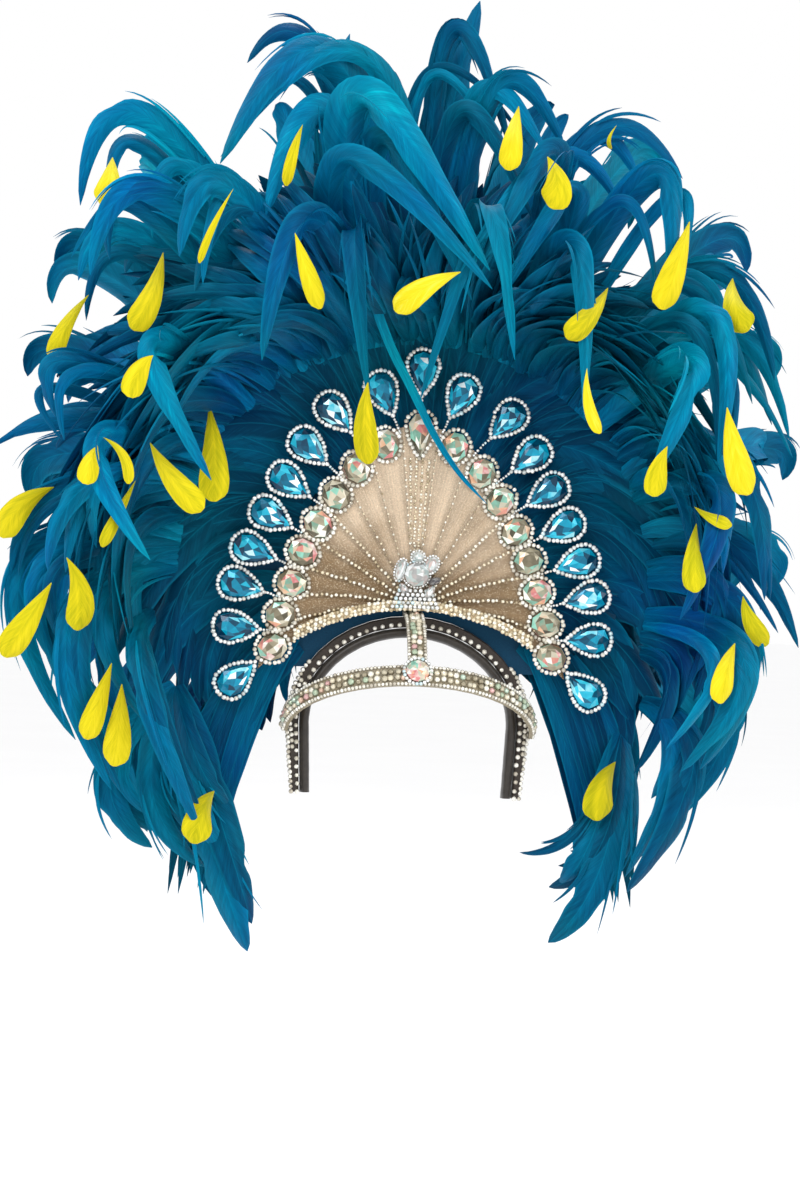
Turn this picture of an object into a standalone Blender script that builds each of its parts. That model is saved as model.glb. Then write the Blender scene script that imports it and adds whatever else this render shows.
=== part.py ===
"""Showgirl feather headdress.

Metres. X is to the viewer's right, the front looks to -Y, +Z is up. The origin is the underside of
the hoop's pad at the top of the head, where the headdress sits.
"""

from collections import namedtuple
from math import atan2, cos, hypot, pi, radians, sin, sqrt

import bmesh
import bpy
from mathutils import Vector

# Clearance between pieces that touch
GAP = 0.0003

# Head hoop: an arch over the head with a straight leg at each temple
HEAD_HALF_WIDTH = 0.073
HEAD_RISE = 0.064
LEG_LENGTH = 0.052
LEG_LEAN = 0.0022
PAD_THICKNESS = 0.008
PAD_WIDTH = 0.016
RIM_THICKNESS = 0.008
RIM_FOOT_THICKNESS = 0.005
RIM_WIDTH = 0.009
ARCH_STEPS = 18
LEG_STEPS = 3

# Forehead band and centre strap
BAND_DEPTH = 0.056
BAND_SIDE_RUN = 0.012
BAND_RISE = 0.038
BAND_HEIGHT = 0.0155
BAND_THICKNESS = 0.0025
BAND_LEAN = radians(25)
BAND_STEPS = 20
STRAP_WIDTH = 0.0138
STRAP_THICKNESS = 0.0024
STRAP_STEPS = 7

# Pleated fan
FAN_HALF_WIDTH = 0.1031
FAN_HEIGHT = 0.1572
FAN_DATUM_Z = -0.007
FAN_APEX_HEIGHT = 0.030
FAN_THICKNESS = 0.002
FAN_PLEAT = 0.0025
FAN_RIM_MARGIN = 0.007
FAN_LOW_RIB_BOW = 0.012
TRIM_LOW_HEIGHT = 0.028
TRIM_RADIUS = 0.1658
TRIM_WIDTH = 0.007
TRIM_THICKNESS = 0.0024
TRIM_STEPS = 18

# Backing panel, and the feather pads in front of it and behind it
PANEL_THICKNESS = 0.0025
PANEL_RADIUS = 0.155
PANEL_FOOT_STEPS = 3
HUB_HEIGHT = 0.043
FRONT_PAD_DEPTH = 0.0114
BACK_PAD_DEPTH = 0.026

# Stones
STONE_BEZEL = 0.0028
STONE_CROWN = 0.0030
STONE_SURROUND = 0.0030
INNER_LENGTH = 0.025
INNER_WIDTH = 0.022
CENTRE_LENGTH = 0.036
CENTRE_WIDTH = 0.0225
DROP_LENGTH = 0.035
DROP_WIDTH = 0.024
STEM_WIDTH = 0.0024
STEM_START = 0.005
FOREHEAD_STONE_WIDTH = 0.023
INNER_SIDES = 12
DROP_SIDES = 14
ORNAMENT_WIDTH = 0.030
ORNAMENT_HEIGHT = 0.042

# Feathers
PLUME_REACH = 0.296
FRONT_REACH = 0.130
BACK_REACH = 0.165
ROOT_RADIUS = 0.120
DROP_CLEARANCE = 0.0037
PAD_INNER_RADIUS = 0.036
FEATHER_WIDTH = 0.023
FEATHER_THICKNESS = 0.0022
FEATHER_STEPS = 6
FINE_STEPS = 60
BEND_SPACING = 0.045
YELLOW_LENGTH = 0.038
YELLOW_WIDTH = 0.024
YELLOW_STEM_WIDTH = 0.006
YELLOW_STEM_LENGTH = 0.015
YELLOW_STAND_OFF = 0.006

# The view that the feather tables are read in: the crown seat's place in it is measured from its centre
VIEW_AZIMUTH = radians(-5)
VIEW_ROLL = radians(2.2)
VIEW_DISTANCE = 2.10
CROWN_SEEN_X = 0.0081
CROWN_SEEN_Z = -0.0285

# Inner stones from the lowest of a side up to the middle one: shares of the fan's half width and height
InnerStone = namedtuple("InnerStone", "across up")
INNER_STONES = [
    InnerStone(1.00, -0.02),
    InnerStone(0.95, 0.135),
    InnerStone(0.88, 0.283),
    InnerStone(0.81, 0.43),
    InnerStone(0.71, 0.564),
    InnerStone(0.59, 0.703),
    InnerStone(0.45, 0.831),
    InnerStone(0.25, 0.948),
    InnerStone(0.00, 1.00),
]

# Drops from the lowest of a side up to the top one, in the same shares
DropStone = namedtuple("DropStone", "across up")
DROP_STONES = [
    DropStone(1.244, -0.166),
    DropStone(1.261, 0.069),
    DropStone(1.238, 0.265),
    DropStone(1.158, 0.429),
    DropStone(1.043, 0.594),
    DropStone(0.923, 0.754),
    DropStone(0.790, 0.917),
    DropStone(0.616, 1.083),
    DropStone(0.276, 1.184),
    DropStone(0.00, 1.290),
]

# Rows of the fan from its foot to its rim: share of the rib's length, share of the pleat's depth
FanRow = namedtuple("FanRow", "along pleat")
FAN_ROWS = [FanRow(0.10, 0.5), FanRow(0.32, 1.0), FanRow(0.62, 1.0), FanRow(0.78, 0.0), FanRow(1.0, 0.0)]

# Feather pads round the hub: the outer edge in shares of PLUME_REACH, then the swell as shares of the
# way from the clear radius to the edge and of the front or back reach
PadSection = namedtuple("PadSection", "bearing outer")
PAD_OUTLINE = [
    PadSection(-36, 0.75),
    PadSection(-15, 0.80),
    PadSection(10, 0.86),
    PadSection(35, 0.96),
    PadSection(60, 1.02),
    PadSection(80, 1.10),
    PadSection(105, 1.14),
    PadSection(125, 1.10),
    PadSection(150, 0.98),
    PadSection(175, 0.92),
    PadSection(198, 0.84),
    PadSection(216, 0.77),
]
PadPoint = namedtuple("PadPoint", "along swell")
FRONT_PAD = [PadPoint(0.0, 0.0), PadPoint(0.45, 0.60), PadPoint(0.85, 0.50)]
BACK_PAD = [PadPoint(0.10, 0.30), PadPoint(0.55, 0.55), PadPoint(0.94, 0.36)]
PAD_STEP = 10
PAD_LOBE = 0.042

# Feathers: bearing in degrees round the hub, tip and lead in shares of PLUME_REACH, the depth at the
# arch and at the tip in shares of the front or back reach, the width as a share of FEATHER_WIDTH
Feather = namedtuple("Feather", "bearing tip_x tip_z lead arch_depth tip_depth width")
FRONT_FEATHERS = [
    Feather(188, -0.41, -0.76, 0.35, 0.55, 0.35, 1.15),
    Feather(196, -0.45, -0.53, 0.25, 0.70, 0.55, 1.10),
    Feather(185, -0.515, -0.548, 0.50, 0.40, 0.20, 1.20),
    Feather(182, -0.648, -0.50, 0.62, 0.35, 0.25, 1.20),
    Feather(170, -0.84, -0.23, 0.85, 0.30, 0.25, 1.10),
    Feather(190, -0.53, -0.455, 0.36, 0.85, 0.75, 1.00),
    Feather(172, -0.88, -0.055, 0.70, 0.55, 0.45, 1.00),
    Feather(178, -0.75, -0.355, 0.65, 0.60, 0.55, 1.10),
    Feather(150, -1.02, 0.525, 0.54, 0.25, 0.20, 0.90),
    Feather(160, -1.00, 0.19, 0.60, 0.35, 0.35, 0.95),
    Feather(158, -0.91, 0.195, 0.55, 0.75, 0.70, 0.80),
    Feather(145, -0.89, 0.578, 0.85, 0.60, 0.60, 0.85),
    Feather(116, -0.828, 1.108, 1.34, 0.35, 0.35, 1.10),
    Feather(119, -0.803, 0.933, 1.09, 0.70, 0.70, 1.20),
    Feather(125, -0.833, 0.92, 0.95, 0.25, 0.20, 1.00),
    Feather(97, -0.41, 1.465, 1.24, 0.30, 0.25, 0.95),
    Feather(104, -0.153, 1.538, 0.70, 0.20, 0.15, 0.80),
    Feather(94, -0.478, 1.213, 1.40, 0.60, 0.75, 1.40),
    Feather(88, 0.173, 1.62, 0.60, 0.20, 0.10, 1.30),
    Feather(81, 0.255, 1.230, 1.48, 0.30, 0.45, 0.70),
    Feather(80, 0.385, 1.245, 1.15, 0.55, 0.60, 1.00),
    Feather(73, 0.68, 1.175, 1.08, 0.25, 0.20, 0.90),
    Feather(63, 0.648, 0.87, 1.20, 0.60, 0.65, 1.10),
    Feather(53, 0.91, 0.67, 0.95, 0.40, 0.40, 0.95),
    Feather(101, 0.198, 0.945, 1.37, 0.80, 0.95, 1.30),
    Feather(70, 0.173, 0.958, 1.15, 0.70, 0.85, 1.10),
    Feather(46, 0.948, 0.52, 0.82, 0.25, 0.25, 0.85),
    Feather(48, 0.768, 0.458, 0.94, 0.75, 0.80, 1.00),
    Feather(28, 0.885, 0.12, 0.63, 0.45, 0.45, 1.10),
    Feather(14, 0.97, 0.00, 0.46, 0.25, 0.20, 0.95),
    Feather(2, 0.828, -0.18, 0.52, 0.55, 0.50, 1.00),
    Feather(-20, 0.54, -0.613, 0.57, 0.65, 0.45, 1.25),
    Feather(-34, 0.343, -0.738, 0.30, 0.40, 0.25, 1.25),
    Feather(-25, 0.38, -0.588, 0.50, 0.30, 0.20, 0.90),
    Feather(-14, 0.635, -0.455, 0.60, 0.35, 0.30, 1.10),
    Feather(-6, 0.723, -0.305, 0.62, 0.80, 0.75, 1.10),
    Feather(102, -0.373, 0.72, 0.88, 0.85, 0.98, 1.15),
    Feather(99, -0.103, 0.62, 0.87, 0.75, 0.80, 0.85),
    Feather(78, 0.023, 0.62, 0.86, 0.80, 0.85, 0.60),
    Feather(75, 0.26, 0.72, 0.94, 0.85, 0.95, 0.95),
    Feather(60, 0.435, 0.57, 0.91, 0.80, 0.90, 0.95),
    Feather(135, -0.50, 0.42, 0.80, 0.95, 0.90, 1.10),
    Feather(152, -0.653, 0.22, 0.72, 0.90, 0.95, 1.10),
    Feather(42, 0.598, 0.42, 0.78, 0.92, 0.92, 1.10),
    Feather(22, 0.673, 0.07, 0.60, 0.85, 0.85, 1.10),
    Feather(112, -0.58, 0.98, 1.00, 0.85, 0.80, 1.15),
]

# Feathers behind the backing, the same columns
BACK_FEATHERS = [
    Feather(-30, 0.45, -0.55, 0.30, 0.45, 0.40, 1.20),
    Feather(-16, 0.66, -0.38, 0.50, 0.60, 0.55, 1.20),
    Feather(-4, 0.80, -0.10, 0.55, 0.55, 0.60, 1.20),
    Feather(10, 0.90, 0.15, 0.60, 0.70, 0.80, 1.20),
    Feather(24, 0.93, 0.42, 0.70, 0.60, 0.70, 1.20),
    Feather(38, 0.90, 0.66, 0.80, 0.80, 0.90, 1.20),
    Feather(52, 0.84, 0.94, 0.95, 0.60, 0.70, 1.20),
    Feather(66, 0.62, 1.16, 1.00, 0.75, 0.95, 1.20),
    Feather(79, 0.36, 1.36, 0.80, 0.45, 0.50, 1.20),
    Feather(92, -0.05, 1.45, 0.70, 0.70, 0.80, 1.20),
    Feather(104, -0.34, 1.36, 0.80, 0.50, 0.60, 1.20),
    Feather(117, -0.66, 1.20, 1.05, 0.75, 0.90, 1.20),
    Feather(130, -0.88, 0.92, 0.95, 0.55, 0.65, 1.20),
    Feather(143, -0.96, 0.68, 0.80, 0.80, 0.90, 1.20),
    Feather(156, -0.94, 0.36, 0.70, 0.60, 0.70, 1.20),
    Feather(169, -0.92, 0.08, 0.62, 0.75, 0.85, 1.20),
    Feather(182, -0.80, -0.22, 0.58, 0.55, 0.55, 1.20),
    Feather(195, -0.66, -0.46, 0.48, 0.65, 0.60, 1.20),
    Feather(208, -0.50, -0.62, 0.32, 0.45, 0.40, 1.20),
    Feather(60, 0.30, 0.55, 0.80, 1.00, 1.00, 1.30),
    Feather(90, 0.02, 0.45, 0.85, 1.00, 1.00, 1.30),
    Feather(120, -0.30, 0.55, 0.80, 1.00, 1.00, 1.30),
    Feather(30, 0.55, 0.20, 0.60, 1.00, 1.00, 1.30),
    Feather(150, -0.55, 0.20, 0.60, 1.00, 1.00, 1.30),
]

# Yellow tips: where the tip's quill end is, in shares of PLUME_REACH, the way it hangs in degrees
# from +X, and its size as a share of YELLOW_LENGTH and YELLOW_WIDTH
YellowTip = namedtuple("YellowTip", "x z hang size")
YELLOW_TIPS = [
    YellowTip(-0.71, 1.24, -135, 1.15),
    YellowTip(-0.63, 0.95, -115, 1.05),
    YellowTip(-0.83, 0.85, -115, 0.90),
    YellowTip(-0.63, 0.77, -120, 1.00),
    YellowTip(-0.76, 0.54, -115, 0.95),
    YellowTip(-0.62, 0.52, -60, 1.10),
    YellowTip(-0.50, 0.56, -90, 1.15),
    YellowTip(-0.92, 0.42, -130, 1.15),
    YellowTip(-0.83, 0.21, -95, 1.00),
    YellowTip(-0.90, 0.11, -130, 1.10),
    YellowTip(-0.75, -0.07, -110, 0.90),
    YellowTip(-0.72, -0.12, -100, 1.05),
    YellowTip(-0.46, -0.33, -120, 1.05),
    YellowTip(-0.26, 1.05, -80, 1.10),
    YellowTip(-0.15, 0.68, -80, 1.20),
    YellowTip(0.09, 0.95, -140, 1.00),
    YellowTip(0.24, 1.36, -90, 0.95),
    YellowTip(0.37, 1.24, -95, 0.90),
    YellowTip(0.70, 1.02, -112, 1.10),
    YellowTip(0.78, 0.94, -65, 1.10),
    YellowTip(0.48, 0.90, -125, 0.95),
    YellowTip(0.60, 0.51, -90, 0.85),
    YellowTip(0.82, 0.57, -75, 1.15),
    YellowTip(0.69, 0.29, -85, 0.90),
    YellowTip(0.84, 0.14, -65, 0.90),
    YellowTip(0.78, 0.04, -90, 1.05),
    YellowTip(0.53, -0.26, -115, 1.10),
]


def clear_scene():
    for item in list(bpy.data.objects):
        bpy.data.objects.remove(item, do_unlink=True)
    for collection in list(bpy.data.collections):
        bpy.data.collections.remove(collection)


clear_scene()
PARTS = bpy.data.collections.new("feather_headdress")
GUIDES = bpy.data.collections.new("fused_strips")
bpy.context.scene.collection.children.link(PARTS)
bpy.context.scene.collection.children.link(GUIDES)


def make_material(name, colour, roughness, metallic=0.0):
    material = bpy.data.materials.new(name)
    material.use_nodes = True
    shader = material.node_tree.nodes["Principled BSDF"]
    shader.inputs["Base Color"].default_value = (*colour, 1.0)
    shader.inputs["Roughness"].default_value = roughness
    shader.inputs["Metallic"].default_value = metallic
    material.diffuse_color = (*colour, 1.0)
    return material


MATERIALS = {
    "pad": make_material("pad_satin", (0.012, 0.012, 0.014), 0.45),
    "rim": make_material("rim_beads", (0.30, 0.28, 0.24), 0.35, 0.6),
    "pave": make_material("pave_stones", (0.62, 0.58, 0.48), 0.25, 0.5),
    "fan": make_material("fan_fabric", (0.52, 0.38, 0.22), 0.60, 0.3),
    "felt": make_material("backing_felt", (0.010, 0.012, 0.018), 0.95),
    "aqua": make_material("aqua_stone", (0.04, 0.35, 0.55), 0.08),
    "clear": make_material("clear_stone", (0.70, 0.72, 0.66), 0.08),
    "feather": make_material("blue_feather", (0.004, 0.105, 0.180), 0.50),
}


def mesh_object(name, vertices, faces, material, collection=PARTS):
    mesh = bpy.data.meshes.new(name)
    mesh.from_pydata([tuple(vertex) for vertex in vertices], [], faces)
    builder = bmesh.new()
    builder.from_mesh(mesh)
    bmesh.ops.recalc_face_normals(builder, faces=builder.faces)
    builder.to_mesh(mesh)
    builder.free()
    mesh.materials.append(MATERIALS[material])
    item = bpy.data.objects.new(name, mesh)
    collection.objects.link(item)
    return item


def loft(sections):
    """Vertices and faces of a closed body through rings of equally many points."""
    sides = len(sections[0])
    vertices = [point for section in sections for point in section]
    faces = [list(range(sides))]
    for ring in range(len(sections) - 1):
        for side in range(sides):
            after = (side + 1) % sides
            low = ring * sides
            high = low + sides
            faces.append([low + side, low + after, high + after, high + side])
    last = (len(sections) - 1) * sides
    faces.append(list(range(last, last + sides)))
    return vertices, faces


def ribbon(name, rows, thickness, material, even=True):
    """An open surface through rows of points, thickened."""
    columns = len(rows[0])
    vertices = [point for row in rows for point in row]
    faces = []
    for row in range(len(rows) - 1):
        for column in range(columns - 1):
            corner = row * columns + column
            faces.append([corner, corner + 1, corner + columns + 1, corner + columns])
    item = mesh_object(name, vertices, faces, material)
    wall = item.modifiers.new("wall", "SOLIDIFY")
    wall.thickness = thickness
    wall.offset = 0.0
    wall.use_even_offset = even
    return item


def quadratic(start, control, end, share):
    """A point on a quadratic curve."""
    rest = 1 - share
    return start * rest * rest + control * 2 * rest * share + end * share * share


def between(low, high, share):
    return low + (high - low) * share


# Head hoop


def hoop_path(offset, foot_offset):
    """Points down the middle of a layer of the hoop, with the layer's outward normal at each."""
    points = []
    for step in range(LEG_STEPS):
        share = step / LEG_STEPS
        lean = LEG_LEAN * (1 - share)
        across = HEAD_HALF_WIDTH - lean + between(foot_offset, offset, share)
        height = -HEAD_RISE - LEG_LENGTH * (1 - share)
        points.append((Vector((-across, 0, height)), Vector((-1, 0, 0))))
    for step in range(ARCH_STEPS + 1):
        turn = pi * (1 - step / ARCH_STEPS)
        wide = HEAD_HALF_WIDTH + offset
        tall = HEAD_RISE + offset
        point = Vector((wide * cos(turn), 0, -HEAD_RISE + tall * sin(turn)))
        normal = Vector((cos(turn) / wide, 0, sin(turn) / tall)).normalized()
        points.append((point, normal))
    mirrored = [(Vector((-p.x, 0, p.z)), Vector((1, 0, 0))) for p, n in reversed(points[:LEG_STEPS])]
    return points + mirrored


def hoop_layer(name, inner, thickness, foot_thickness, width, corner, material):
    """A layer of the hoop between an inner offset and its thickness, with cut corners."""
    middle = hoop_path(inner + thickness / 2, inner + foot_thickness / 2)
    sections = []
    for index, (point, normal) in enumerate(middle):
        from_end = min(index, len(middle) - 1 - index)
        share = min(from_end / LEG_STEPS, 1.0)
        half = between(foot_thickness, thickness, share) / 2
        front = Vector((0, -width / 2, 0))
        cut_out = normal * (half - corner)
        cut_side = front * (1 - corner / (width / 2))
        sections.append([
            point - normal * half + cut_side,
            point - cut_out + front,
            point + cut_out + front,
            point + normal * half + cut_side,
            point + normal * half - cut_side,
            point + cut_out - front,
            point - cut_out - front,
            point - normal * half - cut_side,
        ])
    return mesh_object(name, *loft(sections), material)


RIM_INNER = PAD_THICKNESS + GAP
RIM_OUTER = RIM_INNER + RIM_THICKNESS
RIM_TOP = RIM_OUTER


def make_hoop():
    corner = PAD_THICKNESS * 0.3
    hoop_layer("hoop_pad", 0.0, PAD_THICKNESS, PAD_THICKNESS, PAD_WIDTH, corner, "pad")
    corner = RIM_FOOT_THICKNESS * 0.2
    hoop_layer("hoop_frame", RIM_INNER, RIM_THICKNESS, RIM_FOOT_THICKNESS, RIM_WIDTH, corner, "rim")


# Forehead band and strap

BAND_HALF_WIDTH = HEAD_HALF_WIDTH + RIM_OUTER + GAP + BAND_THICKNESS / 2
BAND_UP = Vector((0, sin(BAND_LEAN), cos(BAND_LEAN)))


def band_point(share):
    """The band's centre line, from the left temple at 0 over the forehead to the right at 1."""
    turn = pi * (1 - share)
    rise = sin(turn)
    side_run = BAND_SIDE_RUN / 2
    return Vector((BAND_HALF_WIDTH * cos(turn), -side_run - BAND_DEPTH * rise, -HEAD_RISE + BAND_RISE * rise))


def make_forehead_band():
    points = [band_point(step / BAND_STEPS) for step in range(BAND_STEPS + 1)]
    first = points[0] + Vector((0, BAND_SIDE_RUN, 0))
    last = points[-1] + Vector((0, BAND_SIDE_RUN, 0))
    half = BAND_UP * (BAND_HEIGHT / 2)
    rows = [(point - half, point + half) for point in [first] + points + [last]]
    ribbon("forehead_band", rows, BAND_THICKNESS, "pave")


def make_centre_strap():
    band_top = band_point(0.5) + BAND_UP * (BAND_HEIGHT / 2 + GAP)
    top_height = RIM_TOP + GAP + STRAP_THICKNESS / 2
    end = Vector((0, -GAP, top_height))
    run_up = (top_height - band_top.z) / BAND_UP.z
    control = band_top + BAND_UP * run_up
    rows = []
    for step in range(STRAP_STEPS + 1):
        point = quadratic(band_top, control, end, step / STRAP_STEPS)
        half = Vector((STRAP_WIDTH / 2, 0, 0))
        rows.append((point - half, point + half))
    ribbon("centre_strap", rows, STRAP_THICKNESS, "pave")


# Pleated fan

PLATE_BACK = -GAP - FRONT_PAD_DEPTH - GAP
PLATE_FRONT = PLATE_BACK - FAN_THICKNESS
PLEAT_FRONT = PLATE_FRONT - FAN_PLEAT
FAN_APEX = Vector((0, 0, FAN_DATUM_Z + FAN_APEX_HEIGHT))
FAN_PLANE = PLATE_BACK - FAN_THICKNESS / 2


def fan_place(row):
    return Vector((FAN_HALF_WIDTH * row.across, 0, FAN_DATUM_Z + FAN_HEIGHT * row.up))


def both_sides(rows):
    """Places of a row of stones from the lowest right round the top to the lowest left."""
    right = [fan_place(row) for row in rows]
    left = [Vector((-place.x, 0, place.z)) for place in reversed(right[:-1])]
    return right + left


INNER_PLACES = both_sides(INNER_STONES)
DROP_PLACES = both_sides(DROP_STONES)
SECTORS = len(INNER_PLACES)
DROP_REACH = max(hypot(place.x, place.z - HUB_HEIGHT) for place in DROP_PLACES) + DROP_LENGTH / 2
CLEAR_RADIUS = DROP_REACH + DROP_CLEARANCE


def stone_line(position):
    """The line through the inner stones, counted in stones, carried on half a step at both ends."""
    index = min(max(int(position), 0), SECTORS - 2)
    return INNER_PLACES[index].lerp(INNER_PLACES[index + 1], position - index)


def fan_rib_point(position, along):
    """A point of the fan on the rib that ends at a place along the stone line."""
    rim = stone_line(position)
    outward = (rim - FAN_APEX).normalized()
    rim = rim + outward * FAN_RIM_MARGIN
    middle = (SECTORS - 1) / 2
    lowness = abs(position - middle) / (middle + 0.5)
    upright = Vector((-outward.z, 0, outward.x))
    if outward.x < 0:
        upright = -upright
    bow = upright * FAN_LOW_RIB_BOW * lowness**3 * 4 * along * (1 - along)
    return FAN_APEX.lerp(rim, along) + bow


def make_fan_plate():
    columns = 3 * SECTORS + 1
    rows = []
    for row in FAN_ROWS:
        points = []
        for column in range(columns):
            point = fan_rib_point(column / 3 - 0.5, row.along)
            crest = FAN_PLEAT * row.pleat if column % 3 == 0 else 0.0
            points.append(point + Vector((0, FAN_PLANE - crest, 0)))
        rows.append(points)
    ribbon("fan_plate", rows, FAN_THICKNESS, "fan", even=False)


TRIM_CENTRE_Z = FAN_DATUM_Z + TRIM_LOW_HEIGHT - TRIM_RADIUS
TRIM_BACK = PLEAT_FRONT - GAP
TRIM_FRONT = TRIM_BACK - TRIM_THICKNESS


def make_fan_trim():
    middle_radius = TRIM_RADIUS + TRIM_WIDTH / 2
    clear_of_stone = INNER_LENGTH / 2 + TRIM_WIDTH / 2
    reach = INNER_PLACES[0].x - clear_of_stone
    end_turn = atan2(reach, sqrt(middle_radius**2 - reach**2))
    rows = []
    for step in range(TRIM_STEPS + 1):
        turn = between(-end_turn, end_turn, step / TRIM_STEPS)
        row = []
        for radius in (TRIM_RADIUS, TRIM_RADIUS + TRIM_WIDTH):
            across = radius * sin(turn)
            height = TRIM_CENTRE_Z + radius * cos(turn)
            row.append(Vector((across, TRIM_BACK - TRIM_THICKNESS / 2, height)))
        rows.append(row)
    ribbon("fan_base_trim", rows, TRIM_THICKNESS, "pave")


# Stones, modelled flat with +Z out of the stone's face and +X along its length


def oval_outline(length, width, sides):
    points = []
    for side in range(sides):
        turn = 2 * pi * (side + 0.5) / sides
        points.append((length / 2 * cos(turn), width / 2 * sin(turn)))
    return points


def pear_outline(length, width, sides):
    """A pear with its point at +X, whose widest place is a third of the way from its round end."""
    widest = 0.77
    points = []
    for side in range(sides):
        turn = 2 * pi * side / sides
        across = sin(turn) * sin(turn / 2) / widest
        points.append((length / 2 * cos(turn), width / 2 * across))
    return points


def scaled(outline, width, inset):
    """The outline drawn in by an inset, measured at half its width."""
    share = 1 - 2 * inset / width
    return [(x * share, y * share) for x, y in outline]


def stone_sections(outline, width, bezel=STONE_BEZEL, crown=STONE_CROWN, surround=STONE_SURROUND):
    """Rings of a set stone: back, bezel edge, foot of the crown and table."""
    foot = scaled(outline, width, surround)
    table = [(x * 0.52, y * 0.52) for x, y in foot]
    rings = [(outline, 0.0), (outline, bezel), (foot, bezel * 1.05), (table, bezel + crown)]
    return [[Vector((x, y, height)) for x, y in ring] for ring, height in rings]


def face_front(item, place, back, angle):
    """Turns a flat piece to face the front, its length at an angle from +X, its back at a depth."""
    item.location = (place.x, back, place.z)
    item.rotation_euler = (pi / 2, -angle, 0)


STONE_BACK = PLATE_FRONT - GAP


def make_inner_stones():
    for index, place in enumerate(INNER_PLACES):
        name = f"stone_inner_{index + 1:02d}"
        outward = place - FAN_APEX
        if index == SECTORS // 2:
            outline = pear_outline(CENTRE_LENGTH, CENTRE_WIDTH, DROP_SIDES)
            sections = stone_sections(outline, CENTRE_WIDTH)
            angle = -pi / 2
        else:
            outline = oval_outline(INNER_LENGTH, INNER_WIDTH, INNER_SIDES)
            sections = stone_sections(outline, INNER_WIDTH)
            angle = atan2(outward.z, outward.x)
        item = mesh_object(name, *loft(sections), "clear")
        face_front(item, place, STONE_BACK, angle)


def drop_anchor(index):
    """Where the stem of a drop ends: in the gap between two inner stones, or at the stone it leaves."""
    if index == 0:
        return INNER_PLACES[0], INNER_LENGTH / 2 + GAP
    if index == len(DROP_PLACES) - 1:
        return INNER_PLACES[-1], INNER_LENGTH / 2 + GAP
    middle = len(DROP_PLACES) // 2
    if index == middle:
        return INNER_PLACES[SECTORS // 2], CENTRE_LENGTH / 2 + GAP
    after = index if index < middle else index - 1
    return INNER_PLACES[after - 1].lerp(INNER_PLACES[after], 0.5), STEM_START


def make_drop_stones():
    for index, place in enumerate(DROP_PLACES):
        name = f"stone_drop_{index + 1:02d}"
        anchor, start = drop_anchor(index)
        inward = anchor - place
        stem_end = inward.length - start
        outline = pear_outline(DROP_LENGTH, DROP_WIDTH, DROP_SIDES)
        item = mesh_object(name, *loft(stone_sections(outline, DROP_WIDTH)), "aqua")
        stem_root = DROP_LENGTH / 2 - STONE_SURROUND
        stem = box_guide(
            f"{name}_stem",
            (stem_end - stem_root, STEM_WIDTH, STONE_BEZEL * 0.8),
            ((stem_end + stem_root) / 2, 0, STONE_BEZEL * 0.4),
        )
        angle = atan2(inward.z, inward.x)
        face_front(item, place, STONE_BACK, angle)
        face_front(stem, place, STONE_BACK, angle)
        fuse(item, [stem])


def box_guide(name, size, centre):
    mesh = bpy.data.meshes.new(name)
    builder = bmesh.new()
    bmesh.ops.create_cube(builder, size=1.0)
    for vertex in builder.verts:
        vertex.co = Vector([vertex.co[axis] * size[axis] + centre[axis] for axis in range(3)])
    builder.to_mesh(mesh)
    builder.free()
    item = bpy.data.objects.new(name, mesh)
    GUIDES.objects.link(item)
    mark_guide(item)
    return item


def mark_guide(item):
    item.hide_render = True
    item.display_type = "WIRE"


def fuse(item, guides, solver="EXACT"):
    """Joins guide pieces to an item with a Boolean union."""
    group = bpy.data.collections.new(f"{item.name}_joined")
    GUIDES.children.link(group)
    for guide in guides:
        GUIDES.objects.unlink(guide)
        group.objects.link(guide)
    join = item.modifiers.new("join", "BOOLEAN")
    join.operation = "UNION"
    join.solver = solver
    join.operand_type = "COLLECTION"
    join.collection = group
    join.use_self = len(guides) > 1


def islands(builder):
    """The faces of a mesh in groups that hang together."""
    left = set(builder.faces)
    groups = []
    while left:
        group = []
        front = [left.pop()]
        while front:
            face = front.pop()
            group.append(face)
            for edge in face.edges:
                if len(edge.link_faces) == 2:
                    across = {other for other in edge.link_faces if other in left}
                    left -= across
                    front.extend(across)
        groups.append(group)
    return groups


def enclosed_volume(group):
    """Six times the volume inside a group of faces, below zero for a pocket inside a solid."""
    total = 0.0
    for face in group:
        corners = [vertex.co for vertex in face.verts]
        for second, third in zip(corners[1:], corners[2:]):
            total += corners[0].dot(second.cross(third))
    return total


def close_pockets(item):
    """Makes an item's joined shape its mesh, and fills the sealed pockets between crossed strips."""
    graph = bpy.context.evaluated_depsgraph_get()
    mesh = bpy.data.meshes.new_from_object(item.evaluated_get(graph))
    builder = bmesh.new()
    builder.from_mesh(mesh)
    bmesh.ops.triangulate(builder, faces=builder.faces)
    for group in islands(builder):
        if enclosed_volume(group) < 0:
            bmesh.ops.delete(builder, geom=group, context="FACES")
    builder.to_mesh(mesh)
    builder.free()
    item.modifiers.clear()
    item.data = mesh


def make_forehead_stone():
    outline = oval_outline(FOREHEAD_STONE_WIDTH, FOREHEAD_STONE_WIDTH, INNER_SIDES)
    item = mesh_object("forehead_stone", *loft(stone_sections(outline, FOREHEAD_STONE_WIDTH)), "clear")
    out = Vector((0, -cos(BAND_LEAN), sin(BAND_LEAN)))
    centre = band_point(0.5) + out * (BAND_THICKNESS / 2 + GAP * 2) + BAND_UP * STRAP_THICKNESS
    item.location = centre
    item.rotation_euler = (pi / 2 - BAND_LEAN, 0, 0)


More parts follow.
